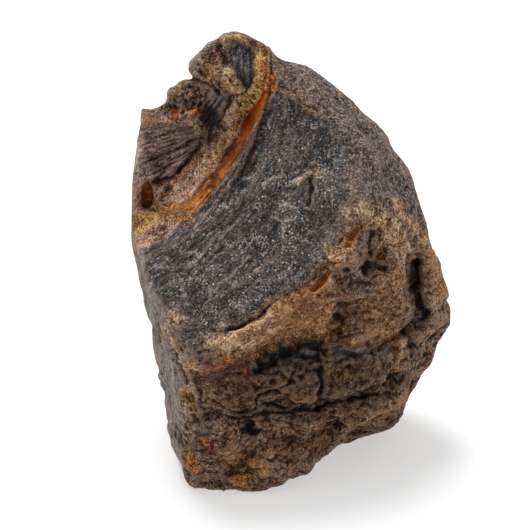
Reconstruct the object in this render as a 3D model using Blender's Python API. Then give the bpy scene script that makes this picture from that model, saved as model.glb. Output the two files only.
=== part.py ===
"""A raw amber nugget: one solid lump with a dark weathered crust.

It stands on a small flat facet of its own. The frame has its origin under the middle of the lump, +X to
the right, +Y to the back and +Z up. Lengths are millimetres until the last step turns them into metres.
"""

import bmesh
import bpy
import numpy as np
from mathutils import Vector, noise

METRES_PER_MM = 0.001

# Working sizes of the mesh
ROUGH_VOXEL = 0.9
FINE_VOXEL = 0.62
EDGE_ROUNDING_PASSES = 5
ROUNDING_ALLOWANCE = 0.35
FINISHED_TRIANGLES = 9200

# The smooth face: a broad plane on the front that leans back and looks a little to the left
SMOOTH_NORMAL = np.array((-0.133, -0.792, 0.596))
SMOOTH_NORMAL /= np.linalg.norm(SMOOTH_NORMAL)
SMOOTH_DISTANCE = 28.7

# Corners of the lump as it broke off, face by face
SMOOTH_FACE_CORNERS = (
    (-14.3, -14.6, 25.5),
    (-18.2, -11.0, 29.4),
    (-20.3, -6.6, 34.8),
    (-21.1, -3.2, 39.2),
    (-20.6, 4.6, 49.6),
    (-8.3, -14.1, 27.6),
    (-0.1, -12.7, 31.2),
    (6.0, -10.3, 35.8),
    (10.1, -6.7, 41.6),
    (10.3, -1.5, 48.4),
    (4.7, 2.6, 52.7),
    (-3.1, 5.8, 55.1),
)
RIGHT_SHOULDER_CORNERS = (
    (-2.3, 9.0, 57.4),
    (1.8, 10.0, 55.8),
    (5.5, 10.0, 53.1),
    (9.2, 9.0, 50.4),
    (12.4, 8.0, 47.4),
    (15.2, 8.0, 43.4),
    (17.3, 6.0, 40.0),
    (14.6, -3.0, 38.4),
    (19.2, 5.0, 33.6),
    (20.9, 4.0, 27.6),
)
ROUGH_SIDE_CORNERS = (
    (-14.0, -15.2, 19.6),
    (-13.4, -14.6, 14.1),
    (-13.6, -13.6, 7.7),
    (-13.8, -12.4, 2.5),
    (-4.0, -15.2, 20.0),
    (4.0, -13.6, 18.0),
    (12.0, -8.6, 24.0),
    (12.0, -7.0, 10.0),
    (17.6, -4.0, 22.0),
    (22.4, 3.0, 22.7),
    (23.3, 4.0, 19.0),
    (21.8, 4.0, 14.3),
    (19.8, 3.0, 10.9),
    (18.4, 3.0, 6.7),
    (16.5, 2.0, 3.4),
)
BASE_CORNERS = (
    (-14.2, -11.4, -0.6),
    (-12.0, -12.8, -0.4),
    (-4.0, -13.2, -0.6),
    (1.0, -11.4, -0.6),
    (14.7, 1.0, 1.4),
    (14.0, 8.0, -0.6),
    (6.0, 13.5, -0.6),
    (-6.0, 14.0, -0.6),
    (-14.0, 11.0, -0.6),
    (-17.2, 4.8, -0.6),
    (-16.0, -3.0, -0.6),
)
LEFT_SIDE_CORNERS = (
    (-20.5, 9.0, 48.2),
    (-21.2, 9.0, 42.8),
    (-22.2, 9.0, 34.8),
    (-22.3, 9.0, 29.6),
    (-21.4, 9.0, 20.9),
    (-19.8, 9.0, 11.3),
    (-17.9, 8.0, 3.0),
)
BACK_CORNERS = (
    (-15.0, 15.0, 42.0),
    (-5.0, 17.0, 48.0),
    (7.0, 15.5, 43.0),
    (14.0, 12.5, 32.0),
    (-17.5, 14.0, 24.0),
    (-6.0, 18.5, 22.0),
    (8.0, 17.5, 20.0),
    (17.5, 11.0, 16.0),
    (-16.0, 12.5, 6.0),
    (14.5, 10.0, 4.0),
)
LUMP_CORNERS = (
    SMOOTH_FACE_CORNERS
    + RIGHT_SHOULDER_CORNERS
    + ROUGH_SIDE_CORNERS
    + BASE_CORNERS
    + LEFT_SIDE_CORNERS
    + BACK_CORNERS
)

# The break at the upper left: a bite out of the smooth face, bounded by an arc about this centre
BREAK_CENTRE = np.array((-33.6, 10.6, 55.5))
BREAK_RADIUS = 31.0
# (distance inside the arc, depth below the smooth face): a steep wall, a slope, a valley and a fan
BREAK_PROFILE = ((0.0, 0.0), (1.0, 2.6), (4.5, 3.7), (6.3, 5.2), (8.6, 4.0), (16.0, 3.3))

# Knobs that the break left standing at the top
TOP_KNOB_CORNERS = (
    (-8.0, 10.0, 60.6),
    (-11.8, 10.0, 58.8),
    (-13.9, 9.0, 56.2),
    (-13.9, 9.0, 53.4),
    (-4.7, 9.8, 60.0),
    (-2.2, 9.4, 58.2),
    (-8.0, 5.0, 56.6),
    (-4.0, 5.6, 56.0),
    (-4.6, 5.2, 53.0),
    (-11.6, 5.6, 53.0),
    (-8.0, 4.6, 49.0),
    (-6.0, 15.0, 56.0),
    (-12.0, 14.0, 54.0),
    (-4.0, 12.0, 48.0),
    (-12.0, 12.0, 44.0),
)
SIDE_KNOB_CORNERS = (
    (-14.4, 8.6, 54.0),
    (-16.2, 8.6, 52.4),
    (-16.8, 8.0, 50.6),
    (-14.0, 5.6, 51.0),
    (-12.4, 5.6, 49.0),
    (-15.6, 6.2, 48.4),
    (-12.0, 12.0, 50.0),
    (-16.0, 12.0, 47.0),
)

# Hollows worn or broken into the crust, as (route, half width, depth)
HOLLOWS = {
    "groove under the smooth face": (
        (
            (-8.5, -14.0, 27.5),
            (-4.0, -13.0, 29.5),
            (0.0, -12.0, 31.5),
            (3.5, -11.0, 33.5),
            (5.5, -9.5, 36.5),
            (8.5, -7.5, 40.0),
        ),
        1.1,
        0.9,
    ),
    "hollow under the lip": (((-4.0, -14.5, 23.0), (0.0, -14.0, 23.6), (3.2, -12.7, 24.8)), 1.9, 2.4),
    "small hollow right of it": (((6.4, -11.3, 26.6), (6.6, -11.3, 24.8)), 1.4, 1.1),
    "gully down the right side": (
        ((17.0, -1.6, 32.0), (17.6, -2.2, 27.5), (18.6, -2.3, 22.3), (16.5, -4.7, 21.0)),
        1.5,
        2.1,
    ),
    "pit on the right bulge": (((11.0, -7.4, 33.3), (13.0, -5.8, 33.8)), 1.4, 1.1),
    "slot on the right bulge": (((12.0, -5.8, 38.0), (10.8, -7.3, 35.2)), 0.9, 0.8),
    "dark shelf": (((6.0, -12.0, 22.2), (10.4, -9.4, 20.9), (14.2, -6.4, 20.0)), 1.6, 1.1),
    "long crack": (
        (
            (-0.3, -13.9, 14.2),
            (4.4, -12.4, 13.8),
            (8.4, -9.9, 13.3),
            (12.4, -6.9, 12.6),
            (15.6, -3.1, 12.3),
        ),
        1.3,
        2.1,
    ),
    "left crack": (
        (
            (-11.8, -14.9, 17.3),
            (-10.1, -14.6, 14.3),
            (-7.0, -14.5, 13.4),
            (-3.9, -14.4, 13.5),
            (-1.8, -14.2, 14.8),
        ),
        1.0,
        1.2,
    ),
    "black pit": (((-5.8, -14.2, 11.4), (-5.4, -14.2, 10.6)), 1.2, 1.4),
    "short upright crack": (((3.8, -13.1, 21.0), (4.4, -13.0, 17.2)), 0.9, 1.0),
    "red window hollow": (((-8.0, -15.0, 21.4), (-11.5, -15.1, 18.9)), 1.5, 0.8),
    "low pit": (((-5.8, -13.3, 3.8), (-4.6, -13.3, 3.4)), 1.2, 1.0),
    "undercut at the right": (((2.5, -9.2, 0.3), (9.0, -4.5, 1.5)), 4.5, 2.5),
    "pit in the smooth face": (((2.8, -3.2, 44.4), (2.1, -5.0, 42.0)), 0.9, 0.7),
    "scar on the back": (((-9.0, 18.0, 36.0), (4.0, 18.0, 31.0)), 7.0, 3.0),
    "ledge on the back": (
        ((-15.0, 15.5, 20.0), (-5.0, 18.5, 17.0), (6.0, 17.5, 14.5), (14.0, 13.0, 12.0)),
        1.5,
        2.0,
    ),
    "crack down the back": (((8.0, 16.5, 40.0), (9.5, 16.5, 31.0), (12.0, 14.5, 23.0)), 1.2, 1.2),
    "hollow on the left side": (((-21.5, 3.0, 24.0), (-21.0, 2.0, 14.0)), 4.0, 0.9),
}

# Swellings of the crust, as (route, half width, height)
SWELLINGS = {
    "lip below the smooth face": (
        (
            (-12.5, -14.5, 24.3),
            (-9.0, -14.5, 25.0),
            (-4.0, -13.9, 27.2),
            (1.3, -12.8, 29.0),
            (6.8, -10.4, 31.5),
            (9.5, -8.0, 36.0),
        ),
        1.8,
        0.8,
    ),
    "right bulge": (((13.0, -5.5, 30.0), (14.5, -4.5, 26.0)), 3.2, 0.9),
    "rim outside the gully": (((19.2, 0.5, 30.5), (20.8, 0.8, 25.0), (20.6, -0.5, 20.5)), 1.6, 0.7),
    "roll above the long crack": (((2.0, -13.4, 16.8), (9.0, -10.2, 16.0), (15.0, -4.6, 15.2)), 1.6, 0.6),
    "roll below the long crack": (((4.0, -12.0, 10.8), (9.0, -8.4, 9.8), (14.0, -4.0, 9.0)), 2.0, 0.8),
    "roll below the left crack": (((-10.0, -14.0, 9.0), (-2.0, -14.0, 9.0)), 2.4, 0.5),
    "roll at the foot": (((-10.0, -12.8, 3.0), (0.0, -12.2, 3.0)), 1.8, 0.4),
    "shelf edge on the back": (((-15.0, 15.0, 23.0), (-5.0, 18.3, 20.5), (6.0, 17.5, 18.0)), 1.8, 0.8),
    "boss on the back": (((2.0, 16.0, 8.0), (7.0, 15.0, 7.0)), 3.5, 0.9),
}

# Relief, as (wavelength, height) of each layer of noise
CRUST_RELIEF = ((9.0, 0.9), (4.4, 0.75), (2.6, 0.5))
SMOOTH_FACE_RELIEF = ((12.0, 0.25), (5.0, 0.1))
# Pits open where one more layer of noise passes a threshold, and are deepest where it is fullest
PIT_SPACING = 4.6
PIT_DEPTH = 1.2
PIT_THRESHOLDS = (0.08, 0.5)
# The side that was worn roughest faces this way, and the others have this share of its relief
ROUGH_SIDE_DIRECTION = np.array((0.3, -0.95, 0.0))
QUIET_SHARE = 0.45
# Each layer set reads its own stretch of the noise
CRUST_OFFSET = 3.7
SMOOTH_FACE_OFFSET = 8.2
PIT_OFFSET = 15.4

# The fan of hackle ridges on the floor of the break, spreading from this point
FAN_FOCUS = np.array((-4.0, 4.5, 52.5))
FAN_RIDGES_PER_RADIAN = 13.0
FAN_HEIGHT = 0.5

# Where one kind of surface gives way to another, as (none of it, all of it)
SMOOTH_FACE_DEPTHS = (-2.2, -0.8)
SMOOTH_FACE_FACING = (0.55, 0.85)
ROUGH_SIDE_FACING = (0.2, 0.6)
FAN_DISTANCES = (5.5, 8.0)
FAN_FACING = (0.5, 0.8)


def remove_startup_objects():
    for obj in list(bpy.data.objects):
        bpy.data.objects.remove(obj, do_unlink=True)


def hull_object(name, corners):
    """The convex lump with these corners."""
    shape = bmesh.new()
    for corner in corners:
        shape.verts.new(corner)
    made = bmesh.ops.convex_hull(shape, input=shape.verts)
    inner = {part for part in made["geom_interior"] if isinstance(part, bmesh.types.BMVert)}
    bmesh.ops.delete(shape, geom=list(inner), context="VERTS")
    bmesh.ops.recalc_face_normals(shape, faces=shape.faces)
    mesh = bpy.data.meshes.new(name)
    shape.to_mesh(mesh)
    shape.free()
    obj = bpy.data.objects.new(name, mesh)
    bpy.context.scene.collection.objects.link(obj)
    return obj


def apply_modifiers(obj):
    graph = bpy.context.evaluated_depsgraph_get()
    mesh = bpy.data.meshes.new_from_object(obj.evaluated_get(graph))
    obj.modifiers.clear()
    obj.data = mesh


def remesh(obj, voxel, smoothing_passes=0):
    """Even small faces all over, the edges rounded by smoothing."""
    even = obj.modifiers.new("even faces", "REMESH")
    even.mode = "VOXEL"
    even.voxel_size = voxel
    if smoothing_passes:
        soften = obj.modifiers.new("rounded edges", "SMOOTH")
        soften.factor = 0.5
        soften.iterations = smoothing_passes
    apply_modifiers(obj)


def join(obj, *others):
    joined = bmesh.new()
    for each in (obj, *others):
        joined.from_mesh(each.data)
    joined.to_mesh(obj.data)
    joined.free()
    for other in others:
        bpy.data.objects.remove(other, do_unlink=True)


def vectors_of(obj, attribute):
    found = np.empty(len(obj.data.vertices) * 3)
    obj.data.vertices.foreach_get(attribute, found)
    return found.reshape(-1, 3)


def set_points(obj, places):
    obj.data.vertices.foreach_set("co", places.ravel())
    obj.data.update()


def smooth_step(low, high, values):
    share = np.clip((values - low) / (high - low), 0, 1)
    return share * share * (3 - 2 * share)


def height_over_smooth_face(places):
    return places @ SMOOTH_NORMAL - SMOOTH_DISTANCE


def distance_inside_break(places):
    """How far inside the break's arc each point is, measured along the smooth face."""
    outward = places - BREAK_CENTRE
    outward -= np.outer(outward @ SMOOTH_NORMAL, SMOOTH_NORMAL)
    return BREAK_RADIUS - np.linalg.norm(outward, axis=1)


def cut_break(obj):
    """Pares the front down to the break's profile, inside its arc."""
    places = vectors_of(obj, "co")
    inside = distance_inside_break(places)
    depth = np.interp(inside, *zip(*BREAK_PROFILE))
    above = height_over_smooth_face(places) + depth
    cut = np.where((inside > 0) & (above > 0), above, 0)
    set_points(obj, places - np.outer(cut, SMOOTH_NORMAL))


def distance_to_route(places, route):
    """Each point's distance to a line through the route's points."""
    nearest = np.full(len(places), np.inf)
    for start, end in zip(route, route[1:]):
        start, along = np.array(start), np.subtract(end, start)
        share = np.clip((places - start) @ along / (along @ along), 0, 1)
        gap = np.linalg.norm(places - start - share[:, None] * along, axis=1)
        nearest = np.minimum(nearest, gap)
    return nearest


def layered_noise(places, layers, offset):
    """Sums signed noise over (wavelength, height) layers."""
    total = np.zeros(len(places))
    for wavelength, height in layers:
        shifted = places / wavelength + offset
        total += height * np.array([noise.noise(Vector(place)) for place in shifted])
    return total


def crust_share(places, normals):
    """1 where the rough crust is, 0 on the smooth face."""
    on_face = smooth_step(*SMOOTH_FACE_DEPTHS, height_over_smooth_face(places))
    facing = smooth_step(*SMOOTH_FACE_FACING, normals @ SMOOTH_NORMAL)
    return 1 - on_face * facing


def relief_share(normals):
    """1 on the roughest side, less on the left side, the shoulder and the back."""
    rough = smooth_step(*ROUGH_SIDE_FACING, normals @ ROUGH_SIDE_DIRECTION)
    return QUIET_SHARE + (1 - QUIET_SHARE) * rough


def hackles(places, normals):
    """Ridges that fan out over the floor of the break."""
    from_focus = places - FAN_FOCUS
    across = np.cross(SMOOTH_NORMAL, (1.0, 0.0, 0.0))
    angle = np.arctan2(from_focus @ across, from_focus[:, 0])
    wave = np.abs(np.sin(angle * FAN_RIDGES_PER_RADIAN))
    inside = smooth_step(*FAN_DISTANCES, distance_inside_break(places))
    facing = smooth_step(*FAN_FACING, normals @ SMOOTH_NORMAL)
    return FAN_HEIGHT * wave * inside * facing


def pits(places):
    filling = layered_noise(places, ((PIT_SPACING, 1.0),), PIT_OFFSET)
    return PIT_DEPTH * smooth_step(*PIT_THRESHOLDS, filling)


def along_route(places, route, half_width):
    """1 on the route, falling away to nothing within about two half widths."""
    return np.exp(-((distance_to_route(places, route) / half_width) ** 2))


def sculpt(obj):
    """Raises and hollows the crust along its own normals."""
    places = vectors_of(obj, "co")
    normals = vectors_of(obj, "normal")
    crust = crust_share(places, normals)
    rise = layered_noise(places, CRUST_RELIEF, CRUST_OFFSET) - pits(places)
    rise *= crust * relief_share(normals)
    rise += (1 - crust) * layered_noise(places, SMOOTH_FACE_RELIEF, SMOOTH_FACE_OFFSET)
    rise += hackles(places, normals)
    for route, half_width, height in SWELLINGS.values():
        rise += height * along_route(places, route, half_width)
    for route, half_width, depth in HOLLOWS.values():
        rise -= depth * along_route(places, route, half_width)
    set_points(obj, places + normals * rise[:, None])


def swell(obj, amount):
    set_points(obj, vectors_of(obj, "co") + vectors_of(obj, "normal") * amount)


def flatten_base(obj):
    places = vectors_of(obj, "co")
    places[:, 2] = np.maximum(places[:, 2], 0)
    set_points(obj, places)


def thin_out(obj, triangles):
    fewer = obj.modifiers.new("fewer triangles", "DECIMATE")
    fewer.ratio = triangles / (2 * len(obj.data.polygons))
    fewer.use_collapse_triangulate = True
    apply_modifiers(obj)


def crust_material():
    material = bpy.data.materials.new("amber_crust")
    material.use_nodes = True
    shader = material.node_tree.nodes["Principled BSDF"]
    shader.inputs["Base Color"].default_value = (0.085, 0.06, 0.047, 1)
    shader.inputs["Roughness"].default_value = 0.6
    shader.inputs["Metallic"].default_value = 0
    return material


def main():
    remove_startup_objects()
    nugget = hull_object("raw_amber", LUMP_CORNERS)
    remesh(nugget, ROUGH_VOXEL)
    cut_break(nugget)
    join(nugget, hull_object("top_knob", TOP_KNOB_CORNERS), hull_object("side_knob", SIDE_KNOB_CORNERS))
    remesh(nugget, FINE_VOXEL)
    swell(nugget, ROUNDING_ALLOWANCE)
    remesh(nugget, FINE_VOXEL, EDGE_ROUNDING_PASSES)
    sculpt(nugget)
    flatten_base(nugget)
    thin_out(nugget, FINISHED_TRIANGLES)
    set_points(nugget, vectors_of(nugget, "co") * METRES_PER_MM)
    nugget.data.materials.append(crust_material())
    nugget.data.shade_smooth()


main()
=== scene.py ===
"""Looks of the raw amber nugget: a weathered crust, and clear amber where it is broken open.

Shapes are worked out in millimetres, in the part's own frame: +X right, +Y back, +Z up. Marks on the
front are given where the camera sees them, as (across, down) in its frame of 530 by 530 pixels.
"""

import math

import bpy
import numpy as np
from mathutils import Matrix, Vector, noise

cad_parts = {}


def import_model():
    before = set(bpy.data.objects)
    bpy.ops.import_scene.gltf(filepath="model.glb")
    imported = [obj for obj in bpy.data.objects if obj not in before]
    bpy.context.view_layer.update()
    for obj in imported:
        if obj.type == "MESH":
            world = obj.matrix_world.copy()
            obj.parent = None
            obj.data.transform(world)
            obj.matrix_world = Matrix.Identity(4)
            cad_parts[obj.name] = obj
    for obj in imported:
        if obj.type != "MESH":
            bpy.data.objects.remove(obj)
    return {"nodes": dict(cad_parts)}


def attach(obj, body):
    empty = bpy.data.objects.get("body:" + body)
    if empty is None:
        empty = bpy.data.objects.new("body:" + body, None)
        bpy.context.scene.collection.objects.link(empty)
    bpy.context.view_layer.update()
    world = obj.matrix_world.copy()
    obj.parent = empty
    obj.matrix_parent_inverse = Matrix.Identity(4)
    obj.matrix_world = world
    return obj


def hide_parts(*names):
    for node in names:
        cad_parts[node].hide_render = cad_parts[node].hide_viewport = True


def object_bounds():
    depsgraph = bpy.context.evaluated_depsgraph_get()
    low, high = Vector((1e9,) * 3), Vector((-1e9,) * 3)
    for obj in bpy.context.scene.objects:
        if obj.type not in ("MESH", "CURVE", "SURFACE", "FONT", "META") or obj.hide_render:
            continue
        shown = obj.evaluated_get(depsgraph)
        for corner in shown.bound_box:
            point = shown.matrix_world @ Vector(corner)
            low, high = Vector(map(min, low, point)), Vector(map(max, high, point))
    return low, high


MM = 0.001

# Camera: it looks along +Y, tipped down, at a point in the middle of the lump
FRAME_PIXELS = 530
SENSOR_WIDTH = 36.0
CAMERA_PITCH = math.radians(30)
CAMERA_DISTANCE = 450.0
CAMERA_TARGET = np.array((-3.5, 0.0, 29.4))
MM_PER_PIXEL = 0.14
LOOKS_ALONG = np.array((0.0, math.cos(CAMERA_PITCH), -math.sin(CAMERA_PITCH)))
UPWARDS = np.array((0.0, math.sin(CAMERA_PITCH), math.cos(CAMERA_PITCH)))
CAMERA_PLACE = CAMERA_TARGET - CAMERA_DISTANCE * LOOKS_ALONG

# The smooth face and the break in it, as the solid has them
SMOOTH_NORMAL = np.array((-0.133, -0.792, 0.596))
SMOOTH_NORMAL /= np.linalg.norm(SMOOTH_NORMAL)
SMOOTH_DISTANCE = 28.7
BREAK_CENTRE = np.array((-33.6, 10.6, 55.5))
BREAK_RADIUS = 31.0

# Directions across the smooth face, for angles round the break
FACE_RIGHT = np.cross((0.0, 0.0, 1.0), SMOOTH_NORMAL)
FACE_RIGHT /= np.linalg.norm(FACE_RIGHT)
FACE_UP = np.cross(SMOOTH_NORMAL, FACE_RIGHT)

# Direction of the drawn-out grain of the left side and the facet
UPRIGHT = np.array((0.1, 0.0, 0.995))

# Mesh: even faces everywhere, and halved again on the front
VOXEL = 0.52
SMOOTHING_PASSES = 7
FRONT_FACING = 0.06

# Outlines of the regions of the front
SMOOTH_FACE_OUTLINE = (
    (279, 88), (298, 96), (310, 110), (328, 124), (344, 142), (362, 165), (372, 192), (366, 212),
    (352, 226), (342, 238), (330, 254), (316, 270), (298, 286), (277, 301), (260, 314), (228, 331),
    (212, 341), (208, 351), (199, 359), (190, 350), (177, 328), (162, 300), (149, 274), (140, 243),
    (163, 233), (180, 225), (192, 216), (201, 203), (212, 191), (226, 178), (239, 159), (249, 140),
    (259, 119), (265, 105), (272, 92),
)
SHOULDER_OUTLINE = (
    (262, 56), (279, 88), (298, 96), (310, 110), (328, 124), (344, 142), (362, 165), (372, 192), (366, 212),
    (385, 222), (408, 226), (424, 232), (470, 240), (460, 150), (400, 80), (303, 40),
)
LEFT_SIDE_OUTLINE = (
    (120, 236), (140, 243), (149, 274), (162, 300), (179, 341), (189, 370), (193, 388), (187, 402),
    (184, 425), (184, 445), (184, 468), (180, 500), (120, 500),
)
LIP_OUTLINE = (
    (206, 352), (208, 342), (228, 332), (250, 321), (263, 313), (277, 302), (292, 292), (306, 284),
    (322, 276), (336, 280), (344, 296), (334, 306), (331, 322), (326, 334), (308, 340), (288, 346),
    (270, 352), (256, 360), (240, 354), (222, 358),
)
MOTTLED_OUTLINE = (
    (316, 272), (330, 254), (342, 238), (354, 226), (368, 214), (385, 222), (404, 228), (410, 262),
    (404, 290), (384, 300), (352, 300), (334, 290),
)
KNOB_OUTLINE = (
    (186, 82), (188, 56), (205, 40), (221, 30), (242, 28), (266, 46), (272, 60), (262, 70), (256, 84),
    (246, 96), (240, 100), (232, 100), (222, 96), (204, 92), (194, 88),
)
SIDE_KNOB_OUTLINE = (
    (160, 114), (166, 94), (176, 84), (188, 76), (196, 84), (206, 92), (203, 110), (196, 120), (184, 121),
    (172, 118),
)
PLATE_OUTLINE = (
    (200, 102), (206, 95), (214, 93), (227, 93), (228, 102), (223, 114), (219, 124), (212, 132), (204, 133),
    (200, 122), (199, 110),
)
FACET_OUTLINE = (
    (229, 50), (238, 44), (252, 46), (256, 54), (253, 70), (250, 90), (245, 93), (240, 82), (234, 68),
    (229, 60),
)
FAN_OUTLINE = (
    (130, 114), (150, 110), (172, 117), (190, 121), (203, 131), (199, 146), (186, 165), (163, 180),
    (152, 188), (142, 212), (130, 214),
)
SLOPE_OUTLINE = (
    (204, 132), (220, 116), (234, 104), (245, 112), (247, 122), (243, 134), (240, 146), (233, 154),
    (224, 164), (216, 175), (207, 186), (194, 195), (184, 200), (170, 206), (152, 214), (140, 218),
    (134, 214), (150, 192), (165, 182), (185, 168), (200, 148),
)
TAN_RIM_OUTLINE = (
    (204, 196), (198, 207), (190, 216), (178, 226), (166, 236), (150, 247), (134, 250), (133, 232),
    (146, 228), (156, 217), (172, 211), (184, 213), (194, 208), (200, 200),
)
CLEAR_BAND_OUTLINE = (
    (268, 88), (272, 92), (267, 101), (262, 110), (257, 121), (252, 131), (247, 141), (242, 151),
    (236, 161), (230, 170), (222, 180), (212, 190), (203, 200), (196, 209), (189, 212), (180, 209),
    (168, 208), (163, 205), (170, 202), (182, 203), (191, 197), (198, 189), (206, 181), (212, 173),
    (218, 164), (222, 156), (226, 149), (233, 143), (239, 134), (243, 126), (247, 118), (251, 111),
    (257, 104), (263, 96),
)
CRUMBLY_OUTLINE = (
    (261, 48), (267, 52), (271, 62), (277, 74), (277, 88), (271, 96), (264, 102), (256, 109), (249, 118),
    (241, 121), (236, 116), (237, 102), (246, 94), (251, 86), (254, 72), (257, 60),
)
BAND_END_OUTLINE = ((134, 214), (148, 211), (158, 214), (160, 219), (152, 227), (143, 234), (134, 237))
WEDGE_OUTLINE = ((208, 178), (198, 184), (188, 196), (160, 198), (160, 216), (196, 216), (212, 192))

# Where the band of the break glows brightest, a glow that is painted light in its colour, and how wide this
# is either side, in pixels
BAND_GLOW_WIDTH = 4.0
BAND_GLOW = ((264, 64), (270, 76), (266, 90), (258, 108), (251, 122), (246, 134))

# The darkest part of the rough side: the crust is made darker towards it, partly its colour and partly
# painted shade
CRUST_MIDDLE = ((250, 372), (345, 376))

# The point that the ridges of the fan spread from
FAN_FOCUS = (250, 117)

# How far inside the arc the edge of the break lies, in mm, against pixels down
EDGE_INSET = ((95, 0.0), (120, 0.35), (138, 0.65), (156, 0.8), (173, 0.95), (190, 1.3), (206, 1.4))


def points_of(obj, attribute="co"):
    found = np.empty(len(obj.data.vertices) * 3)
    obj.data.vertices.foreach_get(attribute, found)
    return found.reshape(-1, 3)


def set_points(obj, places):
    obj.data.vertices.foreach_set("co", np.ascontiguousarray(places).ravel())
    obj.data.update()


def smooth_step(low, high, values):
    share = np.clip((values - low) / (high - low), 0, 1)
    return share * share * (3 - 2 * share)


def only(obj):
    """Makes obj the one that is selected and active."""
    bpy.ops.object.select_all(action="DESELECT")
    obj.select_set(True)
    bpy.context.view_layer.objects.active = obj


def seen_at(places):
    """Where the camera sees each point, in pixels across and down."""
    from_camera = places - CAMERA_PLACE
    depth = from_camera @ LOOKS_ALONG
    across = from_camera[:, 0] / depth * CAMERA_DISTANCE / MM_PER_PIXEL
    up = (from_camera @ UPWARDS) / depth * CAMERA_DISTANCE / MM_PER_PIXEL
    return np.stack((FRAME_PIXELS / 2 + across, FRAME_PIXELS / 2 - up), axis=1)


def distance_to_line(points, line):
    """Distance from each point to a line through the given points."""
    nearest = np.full(len(points), np.inf)
    for start, end in zip(line, line[1:]):
        start, along = np.array(start, float), np.subtract(end, start).astype(float)
        share = np.clip((points - start) @ along / (along @ along), 0, 1)
        nearest = np.minimum(nearest, np.linalg.norm(points - start - share[:, None] * along, axis=1))
    return nearest


def fading_from(points, line, half_width):
    """1 on a line, fading to 0 either side of it."""
    return np.exp(-((distance_to_line(points, line) / half_width) ** 2))


def share_inside(points, outline, blur):
    """1 inside a closed outline and 0 outside it, blurred over that many pixels each way."""
    closed = tuple(outline) + (outline[0],)
    inside = np.zeros(len(points), bool)
    for (x0, y0), (x1, y1) in zip(closed, closed[1:]):
        spans = (y0 > points[:, 1]) != (y1 > points[:, 1])
        if y0 != y1:
            crossing = x0 + (points[:, 1] - y0) * (x1 - x0) / (y1 - y0)
            inside ^= spans & (points[:, 0] < crossing)
    gap = distance_to_line(points, closed)
    return smooth_step(-blur, blur, np.where(inside, gap, -gap))


def plain_noise(places, wavelength, seed=0):
    """Smooth noise from about -1 to 1."""
    scaled = places / wavelength + 17.3 * seed
    return np.array([noise.noise(place) for place in scaled.tolist()])


def cell_noise(places, size, seed=0):
    """Distance to the nearest of scattered points, about that far apart, in cell sizes."""
    scaled = places / size + 17.3 * seed
    return np.array([noise.voronoi(place)[0][0] for place in scaled.tolist()])


def links_of(obj):
    pairs = np.empty(len(obj.data.edges) * 2, int)
    obj.data.edges.foreach_get("vertices", pairs)
    return pairs.reshape(-1, 2)


def spread(values, links, passes):
    """Averages each point's value with its neighbours', that many times."""
    count = len(values)
    neighbours = np.bincount(links.ravel(), minlength=count)
    columns = values.reshape(count, -1).T.copy()
    for _ in range(passes):
        for column in columns:
            total = np.bincount(links[:, 0], weights=column[links[:, 1]], minlength=count)
            total += np.bincount(links[:, 1], weights=column[links[:, 0]], minlength=count)
            column[:] = 0.5 * column + 0.5 * total / neighbours
    return columns.T.reshape(values.shape)


# --- shape -----------------------------------------------------------------------------------------


def modify(obj, kind, **settings):
    """Applies a modifier to obj, which is the active one."""
    modifier = obj.modifiers.new(kind.lower(), kind)
    for name, value in settings.items():
        setattr(modifier, name, value)
    bpy.ops.object.modifier_apply(modifier=modifier.name)


def merge_doubles():
    bpy.ops.object.mode_set(mode="EDIT")
    bpy.ops.mesh.select_all(action="SELECT")
    bpy.ops.mesh.remove_doubles(threshold=0.001)
    bpy.ops.object.mode_set(mode="OBJECT")


def halve_front(mesh):
    """Halves the faces that the camera sees."""
    bpy.ops.object.mode_set(mode="EDIT")
    bpy.ops.mesh.select_mode(type="FACE")
    bpy.ops.mesh.select_all(action="DESELECT")
    bpy.ops.object.mode_set(mode="OBJECT")
    normals = np.empty(len(mesh.polygons) * 3)
    mesh.polygons.foreach_get("normal", normals)
    front = -(normals.reshape(-1, 3) @ LOOKS_ALONG) > FRONT_FACING
    mesh.polygons.foreach_set("select", front)
    bpy.ops.object.mode_set(mode="EDIT")
    bpy.ops.mesh.subdivide(number_cuts=1)
    bpy.ops.object.mode_set(mode="OBJECT")


def fine_copy(node):
    """A copy of the solid in millimetres, with small even faces and soft edges."""
    stone = bpy.data.objects.new("amber_nugget", node.data.copy())
    bpy.context.scene.collection.objects.link(stone)
    stone.data.materials.clear()
    set_points(stone, points_of(stone) / MM)
    only(stone)
    merge_doubles()
    modify(stone, "REMESH", mode="VOXEL", voxel_size=VOXEL)
    halve_front(stone.data)
    modify(stone, "SMOOTH", factor=0.5, iterations=SMOOTHING_PASSES)
    return stone


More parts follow.
